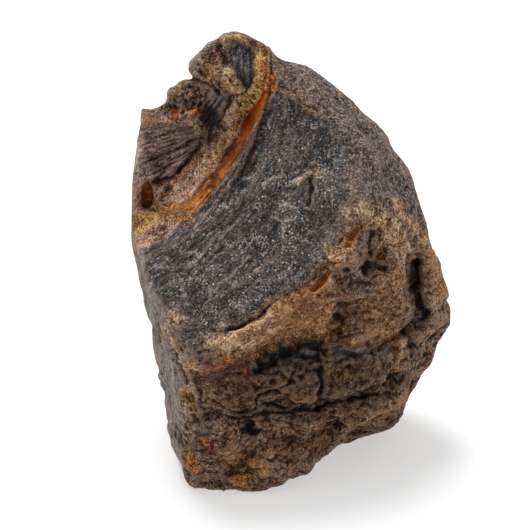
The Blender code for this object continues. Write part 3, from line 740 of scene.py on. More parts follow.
# Colour laid on the front, as (route, half width in pixels, strength)
PAINT = {
    "tan": (
        (((212, 346), (230, 337), (250, 325), (272, 306)), 5.5, 1.0),
        (((256, 342), (276, 338), (296, 334), (316, 335)), 5.5, 1.0),
        (((394, 200), (402, 212), (412, 224), (424, 238)), 4.0, 0.9),
        (((384, 222), (394, 240), (400, 262), (398, 284)), 10, 0.9),
        (((428, 256), (434, 274), (442, 294)), 8, 0.9),
        (((412, 294), (402, 304), (396, 316)), 8, 0.5),
        (((192, 362), (198, 374), (204, 388)), 5, 1.0),
        (((331, 250), (336, 262), (342, 252), (348, 258)), 5, 1.0),
        (((398, 332), (401, 342), (399, 354), (396, 366)), 3.5, 0.8),
        (((290, 400), (300, 403), (310, 402)), 3.5, 0.6),
        (((274, 430), (284, 434), (292, 432)), 5, 0.5),
        (((216, 72), (228, 80), (238, 98)), 5.5, 0.8),
        (((203, 64), (208, 70), (212, 78)), 4, 0.6),
        (((180, 88), (186, 82)), 2.5, 0.7),
        (((240, 106), (234, 114), (226, 124)), 4, 0.6),
        (((146, 122), (158, 120), (170, 121)), 6, 0.6),
        (((376, 350), (390, 362), (394, 340)), 3.5, 0.5),
        (((306, 172), (314, 170), (322, 174)), 2.5, 0.6),
        (((284, 90), (298, 96), (304, 102)), 2.0, 0.7),
        (((306, 110), (314, 114)), 2.4, 0.7),
        (((330, 306), (320, 320), (312, 328)), 5, 0.6),
        (((306, 337), (322, 336), (338, 330)), 7, 0.7),
        (((246, 359), (256, 357), (262, 352)), 6, 0.7),
        (((350, 176), (356, 206), (350, 220)), 4, 0.25),
        (((356, 234), (364, 226)), 5, 0.6),
        (((384, 250), (384, 284), (376, 300)), 8, 0.8),
        (((364, 302), (392, 318), (402, 345)), 14, 0.4),
        (((360, 336), (376, 330)), 8, 0.6),
        (((226, 464), (246, 460), (260, 472), (240, 482)), 10, 0.75),
        (((382, 414), (398, 408), (408, 398)), 5, 0.7),
        (((197, 110), (192, 114)), 4, 0.9),
        (((194, 374), (196, 364)), 4, 0.9),
    ),
    "cream": (
        (((236, 106), (232, 114)), 4, 0.9),
        (((222, 136), (212, 150), (201, 166)), 8, 0.6),
        (((192, 122), (197, 128), (200, 134)), 3, 0.9),
        (((224, 41), (233, 36), (244, 38)), 3, 0.6),
        (((137, 146), (136, 166)), 4, 0.6),
        (((196, 368), (202, 380), (206, 390)), 6, 0.7),
        (((424, 288), (432, 300), (438, 316)), 6, 0.5),
        # This and the next stroke, at the top of the valley by the break, are paler to lift the shade that
        # falls there: pale crust with painted light
        (((196, 116), (204, 126)), 4, 0.7),
        (((214, 132), (222, 140), (212, 150)), 7, 0.7),
        (((212, 345), (230, 337), (248, 328)), 10, 1),
        (((258, 330), (272, 325)), 5, 0.6),
        (((274, 342), (288, 337), (306, 333)), 4, 0.8),
        (((228, 72), (235, 84), (241, 97)), 4.5, 0.8),
        (((256, 322), (268, 312), (276, 304)), 3.6, 0.8),
        (((222, 350), (240, 346), (252, 342)), 7.2, 0.8),
        (((330, 250), (335, 258), (343, 254)), 6.5, 1),
        (((362, 204), (368, 214)), 5.1, 0.69),
        (((345, 236), (352, 226)), 3.6, 0.69),
        (((396, 224), (402, 236), (406, 248), (407, 268)), 7.5, 1),
        (((412, 228), (420, 238), (426, 248)), 4, 0.7),
        (((388, 238), (396, 252)), 5, 0.6),
        (((394, 200), (401, 210), (410, 222)), 2.5, 0.8),
        (((350, 214), (364, 210), (380, 220)), 8, 0.9),
        (((173, 315), (180, 322)), 6.5, 0.7),
        (((166, 326), (175, 345), (184, 366), (191, 388)), 4, 0.45),
        (((296, 188), (300, 178), (308, 173), (317, 176)), 2.3, 0.8),
        (((284, 91), (298, 97), (308, 104)), 2.3, 0.69),
        (((224, 326), (228, 328)), 3.6, 1),
        (((400, 334), (404, 346), (400, 360)), 2.9, 0.69),
        (((376, 312), (388, 322)), 5.8, 0.46),
        (((184, 178), (176, 190), (168, 200)), 7.2, 0.46),
    ),
    "red": (
        (((203, 440), (209, 446)), 4.5, 0.8),
        (((262, 346), (280, 338), (300, 334), (322, 334), (340, 328)), 7, 0.3),
        (((202, 381), (218, 372), (234, 362)), 9, 1.0),
        (((222, 390), (250, 384), (256, 370)), 10, 0.4),
        (((320, 344), (336, 343), (350, 345)), 4, 0.7),
        (((242, 362), (247, 374)), 3.5, 0.9),
        (((284, 314), (300, 308), (314, 306)), 11, 0.45),
        (((366, 404), (374, 408)), 4, 0.6),
        (((285, 360), (296, 366)), 5, 0.35),
        (((270, 440), (300, 436), (330, 440)), 8, 0.35),
        (((374, 234), (370, 254)), 3, 0.9),
        (((358, 236), (364, 246)), 4, 0.4),
        (((352, 290), (348, 300)), 5, 0.5),
        (((360, 432), (384, 426), (402, 410)), 5, 0.5),
        (((341, 308), (340, 322)), 7, 0.5),
        (((200, 152), (186, 166), (172, 177), (160, 184)), 4.5, 0.9),
        (((222, 54), (226, 62)), 4, 0.5),
        (((214, 46), (222, 52), (228, 62)), 6, 0.5),
        (((288, 74), (302, 84), (318, 102)), 12, 0.25),
        (((318, 296), (330, 290)), 7, 0.35),
    ),
    "dust": (
        (((352, 172), (360, 200), (350, 218), (336, 234)), 14, 0.75),
        (((340, 262), (356, 246), (374, 236)), 10, 0.7),
        (((396, 230), (402, 244), (404, 258)), 6, 0.7),
        (((172, 313), (177, 319), (181, 324)), 7, 1.0),
        (((294, 70), (306, 84), (318, 98)), 10, 0.5),
        (((190, 218), (166, 230), (142, 240)), 3, 0.4),
        (((138, 140), (137, 160), (138, 180)), 8, 1.0),
        (((164, 314), (174, 342), (184, 370), (192, 394)), 5, 1.0),
        (((176, 340), (190, 356), (200, 376)), 7, 0.7),
        (((176, 127), (190, 131), (204, 138)), 5, 0.6),
        (((200, 124), (206, 134), (203, 142)), 5, 0.8),
        (((226, 328), (200, 342), (214, 336)), 4, 0.4),
        # the knob's left cheek: pale dust with a painted sheen
        (((200, 50), (195, 60), (196, 72)), 6, 0.6),
        (((234, 110), (226, 122), (216, 134)), 6, 0.7),
        (((222, 40), (228, 46)), 4, 0.5),
        (((146, 118), (160, 124)), 5, 0.5),
        (((150, 130), (180, 130)), 4, 0.3),
        (((300, 186), (330, 190), (350, 176)), 9, 0.3),
        (((380, 180), (392, 206), (402, 222)), 8, 0.3),
        (((352, 268), (366, 290), (350, 298)), 13, 0.8),
        (((376, 232), (394, 250), (396, 262)), 9, 0.7),
    ),
    "amber": (
        (((240, 124), (226, 142), (214, 164), (204, 184)), 5, 0.7),
        (((262, 62), (262, 78), (254, 92), (244, 106)), 9, 0.8),
        (((168, 208), (180, 204), (194, 200)), 6, 0.7),
        (((138, 220), (150, 218)), 8, 0.6),
        (((136, 206), (144, 196), (146, 184)), 7, 0.6),
        (((312, 292), (322, 280), (332, 268)), 6, 0.7),
        (((344, 250), (350, 240), (358, 228)), 6, 0.7),
        (((284, 300), (300, 292), (312, 290)), 7, 0.2),
        (((187, 396), (190, 408), (196, 418)), 6, 1.0),
        (((140, 224), (152, 212), (168, 213), (188, 213)), 9, 1.0),
        (((150, 196), (158, 206)), 7, 0.7),
        (((360, 306), (378, 318), (392, 332)), 10, 0.5),
        (((172, 184), (182, 174), (196, 160)), 3, 0.6),
        (((258, 350), (280, 344), (300, 339), (322, 338), (344, 330)), 6, 0.75),
        (((288, 330), (310, 324), (330, 316)), 8, 0.4),
        (((334, 372), (348, 378)), 5, 0.5),
        (((230, 474), (244, 476)), 6, 0.5),
        (((280, 432), (290, 434)), 4, 0.5),
        (((352, 340), (354, 342)), 2, 0.9),
        (((384, 326), (392, 340), (398, 352)), 7, 0.3),
        (((256, 446), (286, 452), (310, 444)), 8, 0.25),
    ),
    "yellow": (
        (((262, 56), (268, 66), (264, 80)), 6, 0.7),
        (((252, 94), (244, 106)), 5, 0.6),
        (((208, 346), (214, 343)), 4, 0.3),
        (((353, 340), (354, 342)), 1.8, 0.9),
        (((233, 38), (240, 36)), 4, 0.5),
        (((187, 394), (187, 404)), 4, 1.0),
        (((190, 411), (198, 411)), 1.2, 0.9),
        (((189, 416), (199, 417)), 1.2, 0.8),
        (((186, 451), (188, 458)), 3.2, 1.0),
        (((159, 324), (161, 342)), 1.5, 0.9),
        (((136, 232), (146, 226), (154, 216)), 3, 0.5),
        (((236, 480), (246, 477)), 5, 0.5),
    ),
    # Dark marks: some are the crust's own black; many lie in cracks, pits, the gully and the hollow under the
    # lip, where they are painted shade as well as dark crust
    "dark": (
        (((170, 105), (180, 100)), 5, 0.9),
        (((184, 104), (190, 98)), 4, 0.6),
        (((206, 410), (216, 422)), 5, 0.4),
        (((216, 46), (222, 54), (226, 62)), 4, 0.6),
        (((252, 44), (260, 54)), 4, 0.5),
        (((264, 366), (276, 356), (292, 350), (310, 346), (318, 352)), 8, 0.9),
        (((314, 354), (321, 368), (321, 396)), 5, 0.8),
        (((341, 308), (340, 320), (336, 332)), 7, 0.5),
        (((412, 264), (414, 284), (419, 302), (422, 318)), 8, 1.0),
        (((402, 326), (410, 338), (416, 346)), 7, 0.6),
        (((293, 411), (303, 408), (318, 407)), 3, 0.9),
        (((350, 400), (362, 396), (378, 393)), 3, 0.8),
        (((249, 428), (254, 434)), 4.5, 0.9),
        (((337, 351), (350, 356), (366, 352), (386, 354)), 5, 0.8),
        (((300, 362), (322, 378), (344, 388)), 22, 0.3),
        (((256, 408), (258, 398), (266, 393), (278, 392)), 3, 0.8),
        (((213, 402), (230, 411), (262, 410), (290, 412)), 5, 0.55),
        (((270, 104), (261, 122), (252, 142), (240, 164)), 5, 0.8),
        (((286, 112), (276, 140), (262, 170)), 20, 0.3),
        (((278, 90), (288, 100), (298, 112)), 9, 0.75),
        (((312, 114), (326, 126), (340, 140)), 8, 0.4),
        (((152, 256), (166, 246), (184, 234)), 6, 0.5),
        (((200, 446), (214, 456), (220, 472)), 11, 0.45),
        (((196, 474), (206, 482), (222, 486)), 8, 0.35),
        (((232, 436), (242, 442)), 8, 0.3),
        (((266, 414), (284, 418), (300, 420)), 7, 0.4),
        (((200, 408), (206, 420), (208, 430)), 6, 0.6),
        (((236, 46), (246, 50)), 6, 0.5),
        (((184, 328), (196, 342), (204, 350)), 11, 0.5),
        (((191, 425), (201, 425)), 4, 1.0),
        (((236, 180), (248, 184)), 4, 0.7),
        (((136, 240), (142, 230), (150, 222), (168, 216), (192, 213)), 7, 0.42),
        (((238, 168), (228, 182), (216, 196), (208, 206)), 5, 0.6),
        (((276, 366), (292, 360), (308, 358)), 8, 0.7),
        (((168, 197), (184, 191)), 6, 0.25),
        (((197, 415), (204, 424), (209, 429)), 6, 0.8),
        (((152, 208), (150, 200)), 3, 0.5),
        (((238, 48), (252, 60), (262, 70)), 3, 0.3),
        (((266, 190), (272, 194)), 3.5, 0.7),
        (((288, 188), (298, 192)), 4, 0.6),
        (((313, 136), (313, 146)), 4, 0.5),
        (((326, 142), (336, 146)), 5, 0.5),
        (((306, 160), (310, 168)), 4, 0.4),
        (((328, 212), (338, 218)), 7, 0.5),
        (((157, 324), (160, 343)), 1.6, 0.8),
        (((176, 356), (180, 366), (185, 384)), 1.8, 0.5),
        (((198, 352), (207, 350), (216, 348)), 2.5, 0.7),
        (((222, 333), (238, 327), (252, 320), (264, 312)), 3.0, 0.8),
        (((366, 269), (374, 265), (386, 267)), 4.0, 0.7),
        (((176, 426), (181, 440), (186, 450)), 3, 0.6),
        (((348, 268), (348, 272)), 3, 0.7),
        (((313, 178), (313, 188), (311, 197), (307, 204)), 2.6, 0.8),
    ),
    "rose": (
        (((247, 136), (241, 150), (233, 164), (226, 174)), 5, 1.0),
    ),
    "line": (
        # the knob's pale left outline: a painted highlight
        (((193, 60), (198, 50), (208, 44), (217, 38)), 4, 0.9),
        (((224, 198), (228, 192), (230, 186), (237, 183), (242, 178), (250, 177)), 1.3, 1.0),
        (((264, 188), (265, 181), (275, 177), (281, 178)), 1.2, 0.9),
        (
            ((288, 185), (292, 182), (298, 177), (305, 173), (310, 173), (315, 178), (322, 177), (324, 170)),
            1.5, 1.0,
        ),
        (((315, 178), (314, 192), (310, 202), (305, 207)), 1.2, 0.8),
        (((280, 205), (287, 203), (293, 207)), 1.3, 0.8),
        (((275, 213), (283, 220), (292, 220)), 1.2, 0.7),
        (((282, 228), (283, 235), (281, 241)), 1.2, 0.7),
        (((274, 96), (265, 112), (256, 128), (250, 141)), 1.2, 0.7),
        (((278, 255), (262, 264), (248, 276), (232, 285)), 1.2, 0.7),
        (((262, 236), (250, 244), (240, 254)), 1.1, 0.5),
        (((244, 214), (228, 230), (214, 248)), 1.1, 0.5),
        (((220, 232), (204, 252), (186, 268)), 1.1, 0.5),
        (((250, 258), (226, 278), (206, 300)), 1.1, 0.5),
    ),
    "ember": (
        (((200, 374), (210, 369), (222, 363)), 4, 0.15),
        (((188, 462), (192, 466), (195, 470)), 4, 1.0),
        (((204, 440), (209, 446)), 3.5, 0.6),
        (((227, 357), (231, 362)), 3, 1.0),
        (((206, 376), (218, 370), (228, 364)), 4, 0.35),
        (((246, 364), (243, 374)), 3, 0.6),
        (((263, 68), (270, 78), (273, 88)), 4, 0.8),
        (((248, 124), (246, 134)), 3, 0.6),
        (((173, 110), (177, 116)), 3.5, 1.0),
        (((193, 110), (199, 114)), 3.5, 0.9),
        (((234, 478), (246, 480)), 4, 0.4),
    ),
    "gloss": (
        (((266, 366), (284, 354), (308, 348)), 9, 1.0),
        (((337, 351), (386, 354)), 5, 0.8),
        (((410, 268), (414, 296)), 4, 0.6),
        (((300, 408), (320, 406)), 3, 0.7),
        (((206, 380), (236, 362)), 7, 0.5),
        (((376, 266), (386, 262)), 3, 0.8),
    ),
}


# Places that take a little of a mark all over, besides its strokes
FACET_GLOSS = 0.4
PLATE_GLOSS = 0.5
SIDE_KNOB_DARK = 0.2

# Heights above and below what is round it, in mm, at which a place counts in full as an edge, pit or hollow
FINE_HEIGHT = 0.035
BROAD_HEIGHT = 0.35

# What the survey knows that the crust's material reads: shares of regions, and measures over the surface
REGION_SHARES = (
    "smooth", "shoulder", "left_side", "fan", "slope", "lip", "mottled", "facet", "crumbly", "plate",
)
SURFACE_MEASURES = ("rib", "arc", "turn", "reach", "across", "along", "sideways", "down")


def write_attribute(obj, name, values):
    attribute = obj.data.attributes.new(name, "FLOAT", "POINT")
    attribute.data.foreach_set("value", np.ascontiguousarray(values, np.float32))


def paint_share(survey, strokes):
    """The share of a painted mark at each point of the front."""
    share = np.zeros(len(survey.places))
    for line, half_width, strength in strokes:
        share = np.maximum(share, strength * fading_from(survey.seen, line, half_width))
    return share * survey.facing


def bulge(places, normals, links, passes):
    """How far each point stands above its surroundings, in mm."""
    return np.einsum("ij,ij->i", places - spread(places, links, passes), normals)


def write_wear_and_shading(stone, survey):
    """Edges that wear pale and catch light, pits that hold dirt and shade, and broad hollows that hold grime
    and shade: the pale and dark in them is partly wear and dirt, partly painted highlight and painted shade.
    """
    places = points_of(stone)
    normals = spread(points_of(stone, "normal"), survey.links, 3)
    fine = bulge(places, normals, survey.links, 4)
    broad = bulge(places, normals, survey.links, 50)
    hollow = np.clip(-broad / BROAD_HEIGHT, 0, 1)
    # edge pales worn edges, as wear and painted highlight; pit and low darken pits and broad hollows, as dirt
    # and painted shade
    write_attribute(stone, "edge", np.clip(fine / FINE_HEIGHT, 0, 1))
    write_attribute(stone, "pit", np.clip(-fine / FINE_HEIGHT, 0, 1))
    write_attribute(stone, "low", hollow * (0.45 + 0.55 * survey.facing))


def write_paint(stone, survey):
    also = {
        "dark": SIDE_KNOB_DARK * survey.side_knob,
        "gloss": np.maximum(FACET_GLOSS * survey.facet, PLATE_GLOSS * survey.plate),
    }
    for name, strokes in PAINT.items():
        write_attribute(stone, name, np.maximum(paint_share(survey, strokes), also.get(name, 0)))


def write_attributes(stone, survey, depth):
    """Gives each point of the stone the values that its material reads."""
    write_wear_and_shading(stone, survey)
    write_paint(stone, survey)
    for name in REGION_SHARES + SURFACE_MEASURES:
        write_attribute(stone, name, getattr(survey, name))
    # rim: 0 by the middle of the rough side, 1 away from it, 0.6 on the back; the crust is darker towards the
    # middle and paler towards its rim, partly colour and partly painted shade and light
    rim = smooth_step(16, 60, distance_to_line(survey.exact, CRUST_MIDDLE))
    write_attribute(stone, "rim", 0.6 + (rim - 0.6) * survey.facing)
    write_attribute(stone, "backing", smooth_step(0.2, 0.45, depth))
    write_attribute(stone, "glow", fading_from(survey.exact, BAND_GLOW, BAND_GLOW_WIDTH))
    write_attribute(stone, "wedge", survey.region(WEDGE_OUTLINE, 3))
    write_attribute(stone, "dim", survey.region(MOTTLED_OUTLINE, 20))


# --- materials ---------------------------------------------------------------------------------------


class Shading:
    """A material under construction, with short ways to add its nodes."""

    def __init__(self, name):
        self.material = bpy.data.materials.new(name)
        self.material.use_nodes = True
        self.tree = self.material.node_tree
        self.shader = self.tree.nodes["Principled BSDF"]
        coordinates = self.tree.nodes.new("ShaderNodeTexCoord")
        scale = self.tree.nodes.new("ShaderNodeVectorMath")
        scale.operation = "SCALE"
        self.link(coordinates.outputs["Object"], scale.inputs[0])
        scale.inputs["Scale"].default_value = 1 / MM
        self.millimetres = scale.outputs["Vector"]

    def link(self, source, socket):
        self.tree.links.new(source, socket)

    def put(self, value, socket):
        """Links a socket's value, or sets a number or a colour."""
        if isinstance(value, tuple):
            socket.default_value = value + (1,) if len(value) < len(socket.default_value) else value
        elif isinstance(value, (int, float)):
            socket.default_value = value
        else:
            self.link(value, socket)

    def attribute(self, name):
        node = self.tree.nodes.new("ShaderNodeAttribute")
        node.attribute_name = name
        return node.outputs["Fac"]

    def math(self, operation, *values):
        node = self.tree.nodes.new("ShaderNodeMath")
        node.operation = operation
        for socket, value in zip(node.inputs, values):
            self.put(value, socket)
        return node.outputs[0]

    def times(self, a, b):
        return self.math("MULTIPLY", a, b)

    def greatest(self, names):
        """The greatest of those attributes."""
        most = self.attribute(names[0])
        for name in names[1:]:
            most = self.math("MAXIMUM", most, self.attribute(name))
        return most

    def ramp(self, value, low, high, top=1.0):
        """0 below low and top above high, in a soft step."""
        node = self.tree.nodes.new("ShaderNodeMapRange")
        node.interpolation_type = "SMOOTHSTEP"
        node.inputs["From Min"].default_value = low
        node.inputs["From Max"].default_value = high
        node.inputs["To Max"].default_value = top
        self.link(value, node.inputs["Value"])
        return node.outputs["Result"]

    def combine(self, x, y, z=0.0):
        """A vector of three values."""
        node = self.tree.nodes.new("ShaderNodeCombineXYZ")
        for socket, value in zip(node.inputs, (x, y, z)):
            self.put(value, socket)
        return node.outputs[0]

    def shifted(self, where, seed):
        """A vector moved by the seed, to read noise elsewhere."""
        node = self.tree.nodes.new("ShaderNodeVectorMath")
        node.operation = "ADD"
        node.inputs[1].default_value = (seed, seed * 1.7, -seed)
        self.link(where, node.inputs[0])
        return node.outputs[0]

    def noise(self, wavelength, detail=2.0, roughness=0.55, where=None, seed=0.0, kind="FBM", distortion=0.0):
        """Noise of that wavelength in mm, from 0 to 1."""
        node = self.tree.nodes.new("ShaderNodeTexNoise")
        node.noise_type = kind
        node.inputs["Scale"].default_value = 1 / wavelength
        node.inputs["Detail"].default_value = detail
        node.inputs["Roughness"].default_value = roughness
        node.inputs["Distortion"].default_value = distortion
        self.link(self.shifted(where or self.millimetres, seed), node.inputs["Vector"])
        return node.outputs["Fac"]

    def fibres(self, wavelength, seed=0.0, width=0.06):
        """Thin curling lines: 1 on them and 0 away from them."""
        field = self.noise(wavelength, 2.0, 0.6, seed=seed, distortion=0.6)
        away = self.math("ABSOLUTE", self.math("SUBTRACT", field, 0.5))
        return self.ramp(away, width, 0.0)

    def dots(self, size, seed, share):
        """Round specks about that far apart, in mm, some brighter than others, in that share of places."""
        node = self.tree.nodes.new("ShaderNodeTexVoronoi")
        node.inputs["Scale"].default_value = 1 / size
        self.link(self.shifted(self.millimetres, seed), node.inputs["Vector"])
        chance = self.tree.nodes.new("ShaderNodeSeparateColor")
        self.link(node.outputs["Color"], chance.inputs[0])
        chosen = self.ramp(chance.outputs[0], 1 - share, 1.0)
        return self.times(self.ramp(node.outputs["Distance"], 0.42, 0.16), chosen)

    def mix(self, share, low, high):
        """From colour low to colour high."""
        node = self.tree.nodes.new("ShaderNodeMix")
        node.data_type = "RGBA"
        self.put(share, node.inputs[0])
        self.put(low, node.inputs[6])
        self.put(high, node.inputs[7])
        return node.outputs[2]

    def blend(self, a, b, share):
        """Two values, with that share of the second."""
        return self.math("ADD", a, self.times(self.math("SUBTRACT", b, a), share))

    def speckled(self, field, dark, middle, light, most=1.0, soft=1.0):
        """Dark where the field is low, light where it is high. most: the share of light on the specks."""
        colour = self.mix(self.ramp(field, 0.485, 0.485 - 0.06 * soft), middle, dark)
        share = self.ramp(field, 0.52, 0.52 + 0.06 * soft)
        return self.mix(self.times(share, most), colour, light)

    def bump(self, height, distance, normal=None):
        """Relief of that height in mm."""
        node = self.tree.nodes.new("ShaderNodeBump")
        node.inputs["Distance"].default_value = distance * MM
        self.link(height, node.inputs["Height"])
        if normal is not None:
            self.link(normal, node.inputs["Normal"])
        return node.outputs["Normal"]


# Tones of the painted marks: dark, middle and light, the share of light on the specks, and their softness
MARK_TONES = {
    "dust": ((0.09, 0.06, 0.052), (0.19, 0.135, 0.115), (0.42, 0.33, 0.29), 1.0, 1.5),
    "tan": ((0.1, 0.038, 0.014), (0.37, 0.165, 0.062), (0.74, 0.43, 0.2), 1.0, 1.4),
    "red": ((0.02, 0.005, 0.003), (0.07, 0.014, 0.006), (0.22, 0.075, 0.04), 0.8, 1.0),
    "amber": ((0.06, 0.018, 0.004), (0.24, 0.08, 0.014), (0.6, 0.3, 0.08), 1.0, 1.0),
    "yellow": ((0.1, 0.04, 0.004), (0.42, 0.26, 0.03), (0.8, 0.6, 0.18), 1.0, 1.0),
    # the dark marks: near black crust, and painted shade in cracks, pits and hollows
    "dark": ((0.006, 0.005, 0.005), (0.016, 0.012, 0.012), (0.1, 0.09, 0.09), 1.0, 1.0),
    "ember": ((0.1, 0.018, 0.003), (0.4, 0.085, 0.015), (0.7, 0.27, 0.08), 1.0, 1.0),
}
PALE_LINE = (0.5, 0.42, 0.35)
# Pale for worn edges, partly painted highlight; dark for dirt in pits and grime in hollows, partly painted
# shade
RUBBED_AND_HIGHLIT = (0.38, 0.24, 0.15)
DIRT_AND_SHADE = (0.01, 0.004, 0.003)
GRIME_AND_SHADE = (0.014, 0.006, 0.004)

# Places that hold less dirt and less painted shade, and those where the surface is free of curls besides
LESS_DIRT_AND_SHADE = ("lip", "fan", "smooth", "tan", "cream", "ember", "amber", "yellow")
FREE_OF_CURLS = LESS_DIRT_AND_SHADE + ("shoulder", "left_side", "slope", "plate", "facet", "crumbly", "dust")


class CrustShading(Shading):
    """The crust's material, with the noise that its tones share."""

    def __init__(self):
        super().__init__("weathered_crust")
        grit = self.noise(0.3, 1.0, 0.8, seed=3.0)
        self.grain = self.noise(0.9, 3.0, 0.75, seed=9.0)
        self.blotch = self.noise(3.0, 3.0, 0.6, seed=14.0)
        self.patch = self.noise(1.2, 3.0, 0.65, seed=21.0)
        self.tint = self.noise(1.9, 2.0, 0.6, seed=61.0)
        self.speckle = self.blend(grit, self.grain, 0.35)
        # Pale specks; on the slope and the fan they also stand for sparkle, as painted glints
        self.stars = self.dots(0.45, 51.0, 0.7)
        self.curls = self.fibres(1.5, 39.0, 0.045)
        self.round_break = self.drawn_out("rib", "arc", 0.25, self.times(self.blotch, 0.6))
        self.streak = self.noise(0.4, 3.0, 0.7, self.round_break, seed=5.0)
        self.grain_up = self.noise(0.45, 3.0, 0.7, self.upright(), seed=7.0)
        clustered = self.blend(self.ramp(self.patch, 0.42, 0.6), self.ramp(self.blotch, 0.42, 0.58), 0.5)
        # More light specks towards the rim of the rough side: partly painted light
        rim = self.blend(0.0, 0.3, self.attribute("rim"))
        self.clusters = self.math("ADD", self.times(clustered, 0.6), rim)

    def drawn_out(self, across, along, shrink, z=0.0):
        """A vector from two measures over the surface, for noise that is drawn out along the second."""
        return self.combine(self.attribute(across), self.times(self.attribute(along), shrink), z)

    def upright(self):
        """Places with heights shrunk, for noise that is drawn out upwards."""
        apart = self.tree.nodes.new("ShaderNodeSeparateXYZ")
        self.link(self.millimetres, apart.inputs[0])
        return self.combine(apart.outputs[0], apart.outputs[1], self.times(apart.outputs[2], 0.18))

    def mark_tone(self, name):
        return self.speckled(self.speckle, *MARK_TONES[name])


def rough_middle(s):
    """Nearly black to brown, in patches, rusty or sooty here and there."""
    middle = s.mix(s.ramp(s.blotch, 0.42, 0.56), (0.022, 0.008, 0.004), (0.085, 0.027, 0.011))
    middle = s.mix(s.ramp(s.patch, 0.5, 0.6), middle, (0.16, 0.055, 0.018))
    middle = s.mix(s.ramp(s.tint, 0.52, 0.62, 0.8), middle, (0.15, 0.036, 0.013))
    return s.mix(s.ramp(s.tint, 0.46, 0.36, 0.8), middle, (0.022, 0.017, 0.015))


def rough_threads(s, tone):
    """Pale specks and thin curling threads over the rough crust."""
    tone = s.mix(s.dots(0.5, 53.0, 0.65), tone, (0.75, 0.54, 0.4))
    wisps = s.times(s.fibres(0.8, seed=31.0), s.ramp(s.patch, 0.46, 0.58, 0.6))
    tone = s.mix(wisps, tone, (0.4, 0.26, 0.175))
    threads = s.times(s.fibres(1.1, 35.0, 0.035), s.ramp(s.blotch, 0.46, 0.56, 0.8))
    tone = s.mix(threads, tone, (0.62, 0.41, 0.26))
    # More pale curls towards the rim of the rough side: partly painted light
    return s.mix(s.times(s.curls, s.blend(0.3, 0.6, s.attribute("rim"))), tone, (0.7, 0.45, 0.28))


def rough_tone(s):
    """Rough crust: dark in the middle of the rough side, partly painted shade, with tan specks, more of them
    towards its rim, partly painted light.
    """
    gravel = s.blend(s.noise(0.26, 0.0, 0.5, seed=11.0), s.speckle, 0.5)
    light = s.mix(s.ramp(s.tint, 0.46, 0.56), (0.44, 0.3, 0.215), (0.68, 0.43, 0.26))
    tone = s.speckled(gravel, (0.008, 0.003, 0.0015), rough_middle(s), light, s.clusters, 0.7)
    tone = rough_threads(s, tone)
    rust = s.ramp(s.noise(2.4, 3.0, 0.6, seed=65.0), 0.5, 0.6, 0.5)
    tone = s.mix(s.times(rust, s.ramp(s.speckle, 0.6, 0.5)), tone, (0.22, 0.06, 0.016))
    # painted shade, deepest in the middle of the rough side and less towards its rim; the blotches are the
    # crust's own dark patches
    shade = s.blend(0.6, 0.17, s.attribute("rim"))
    shade = s.math("MAXIMUM", shade, s.ramp(s.blotch, 0.5, 0.4, 0.55))
    return s.mix(shade, tone, (0.02, 0.007, 0.004))


def shoulder_tone(s):
    """Grey brown and speckled, with thin scuffs."""
    middle = s.mix(s.ramp(s.blotch, 0.38, 0.64), (0.08, 0.062, 0.056), (0.15, 0.11, 0.095))
    tone = s.speckled(s.speckle, (0.03, 0.021, 0.019), middle, (0.36, 0.285, 0.255), 0.9, 1.2)
    scuffs = s.times(s.fibres(2.5, 97.0, 0.02), s.ramp(s.grain, 0.45, 0.52, 0.7))
    return s.mix(scuffs, tone, (0.4, 0.32, 0.28))


def left_side_tone(s):
    """Pale grey, with upright grain."""
    middle = s.mix(s.ramp(s.blotch, 0.36, 0.66), (0.16, 0.13, 0.118), (0.26, 0.218, 0.198))
    grain = s.blend(s.speckle, s.grain_up, 0.5)
    return s.speckled(grain, (0.07, 0.055, 0.05), middle, (0.4, 0.34, 0.31), 0.9, 1.3)


def fan_tone(s):
    """Purple brown, with rays that spread from one point."""
    hackle = s.combine(s.times(s.attribute("turn"), 10.0), s.times(s.attribute("reach"), 0.2))
    rays = s.blend(s.speckle, s.noise(0.4, 2.0, 0.6, hackle, seed=6.0), 0.65)
    middle = s.mix(s.ramp(s.patch, 0.36, 0.66), (0.1, 0.06, 0.052), (0.17, 0.11, 0.095))
    tone = s.speckled(rays, (0.022, 0.011, 0.008), middle, (0.38, 0.26, 0.225))
    # pale specks that are partly painted glints
    return s.mix(s.times(s.stars, 0.8), tone, (0.6, 0.5, 0.46))


def slope_tone(s):
    """Pink to tan, sugary, with bright specks that are pale grains and painted glints."""
    middle = s.mix(s.ramp(s.patch, 0.38, 0.66), (0.4, 0.19, 0.11), (0.64, 0.38, 0.26))
    sugar = s.blend(s.speckle, s.streak, 0.3)
    tone = s.speckled(sugar, (0.18, 0.08, 0.045), middle, (0.8, 0.6, 0.48))
    return s.mix(s.stars, tone, (0.95, 0.82, 0.72))


def smooth_middle(s):
    """Near black to grey, in patches and in bands round the break."""
    middle = s.mix(s.ramp(s.blotch, 0.36, 0.64), (0.045, 0.041, 0.041), (0.08, 0.072, 0.07))
    middle = s.mix(s.ramp(s.noise(7.0, 2.0, 0.5, seed=91.0), 0.42, 0.58), middle, (0.1, 0.08, 0.078))
    bands = s.noise(1.3, 3.0, 0.65, s.round_break, seed=95.0)
    middle = s.mix(s.ramp(bands, 0.5, 0.4, 0.6), middle, (0.025, 0.022, 0.023))
    return s.mix(s.ramp(bands, 0.52, 0.62, 0.5), middle, (0.15, 0.128, 0.12))


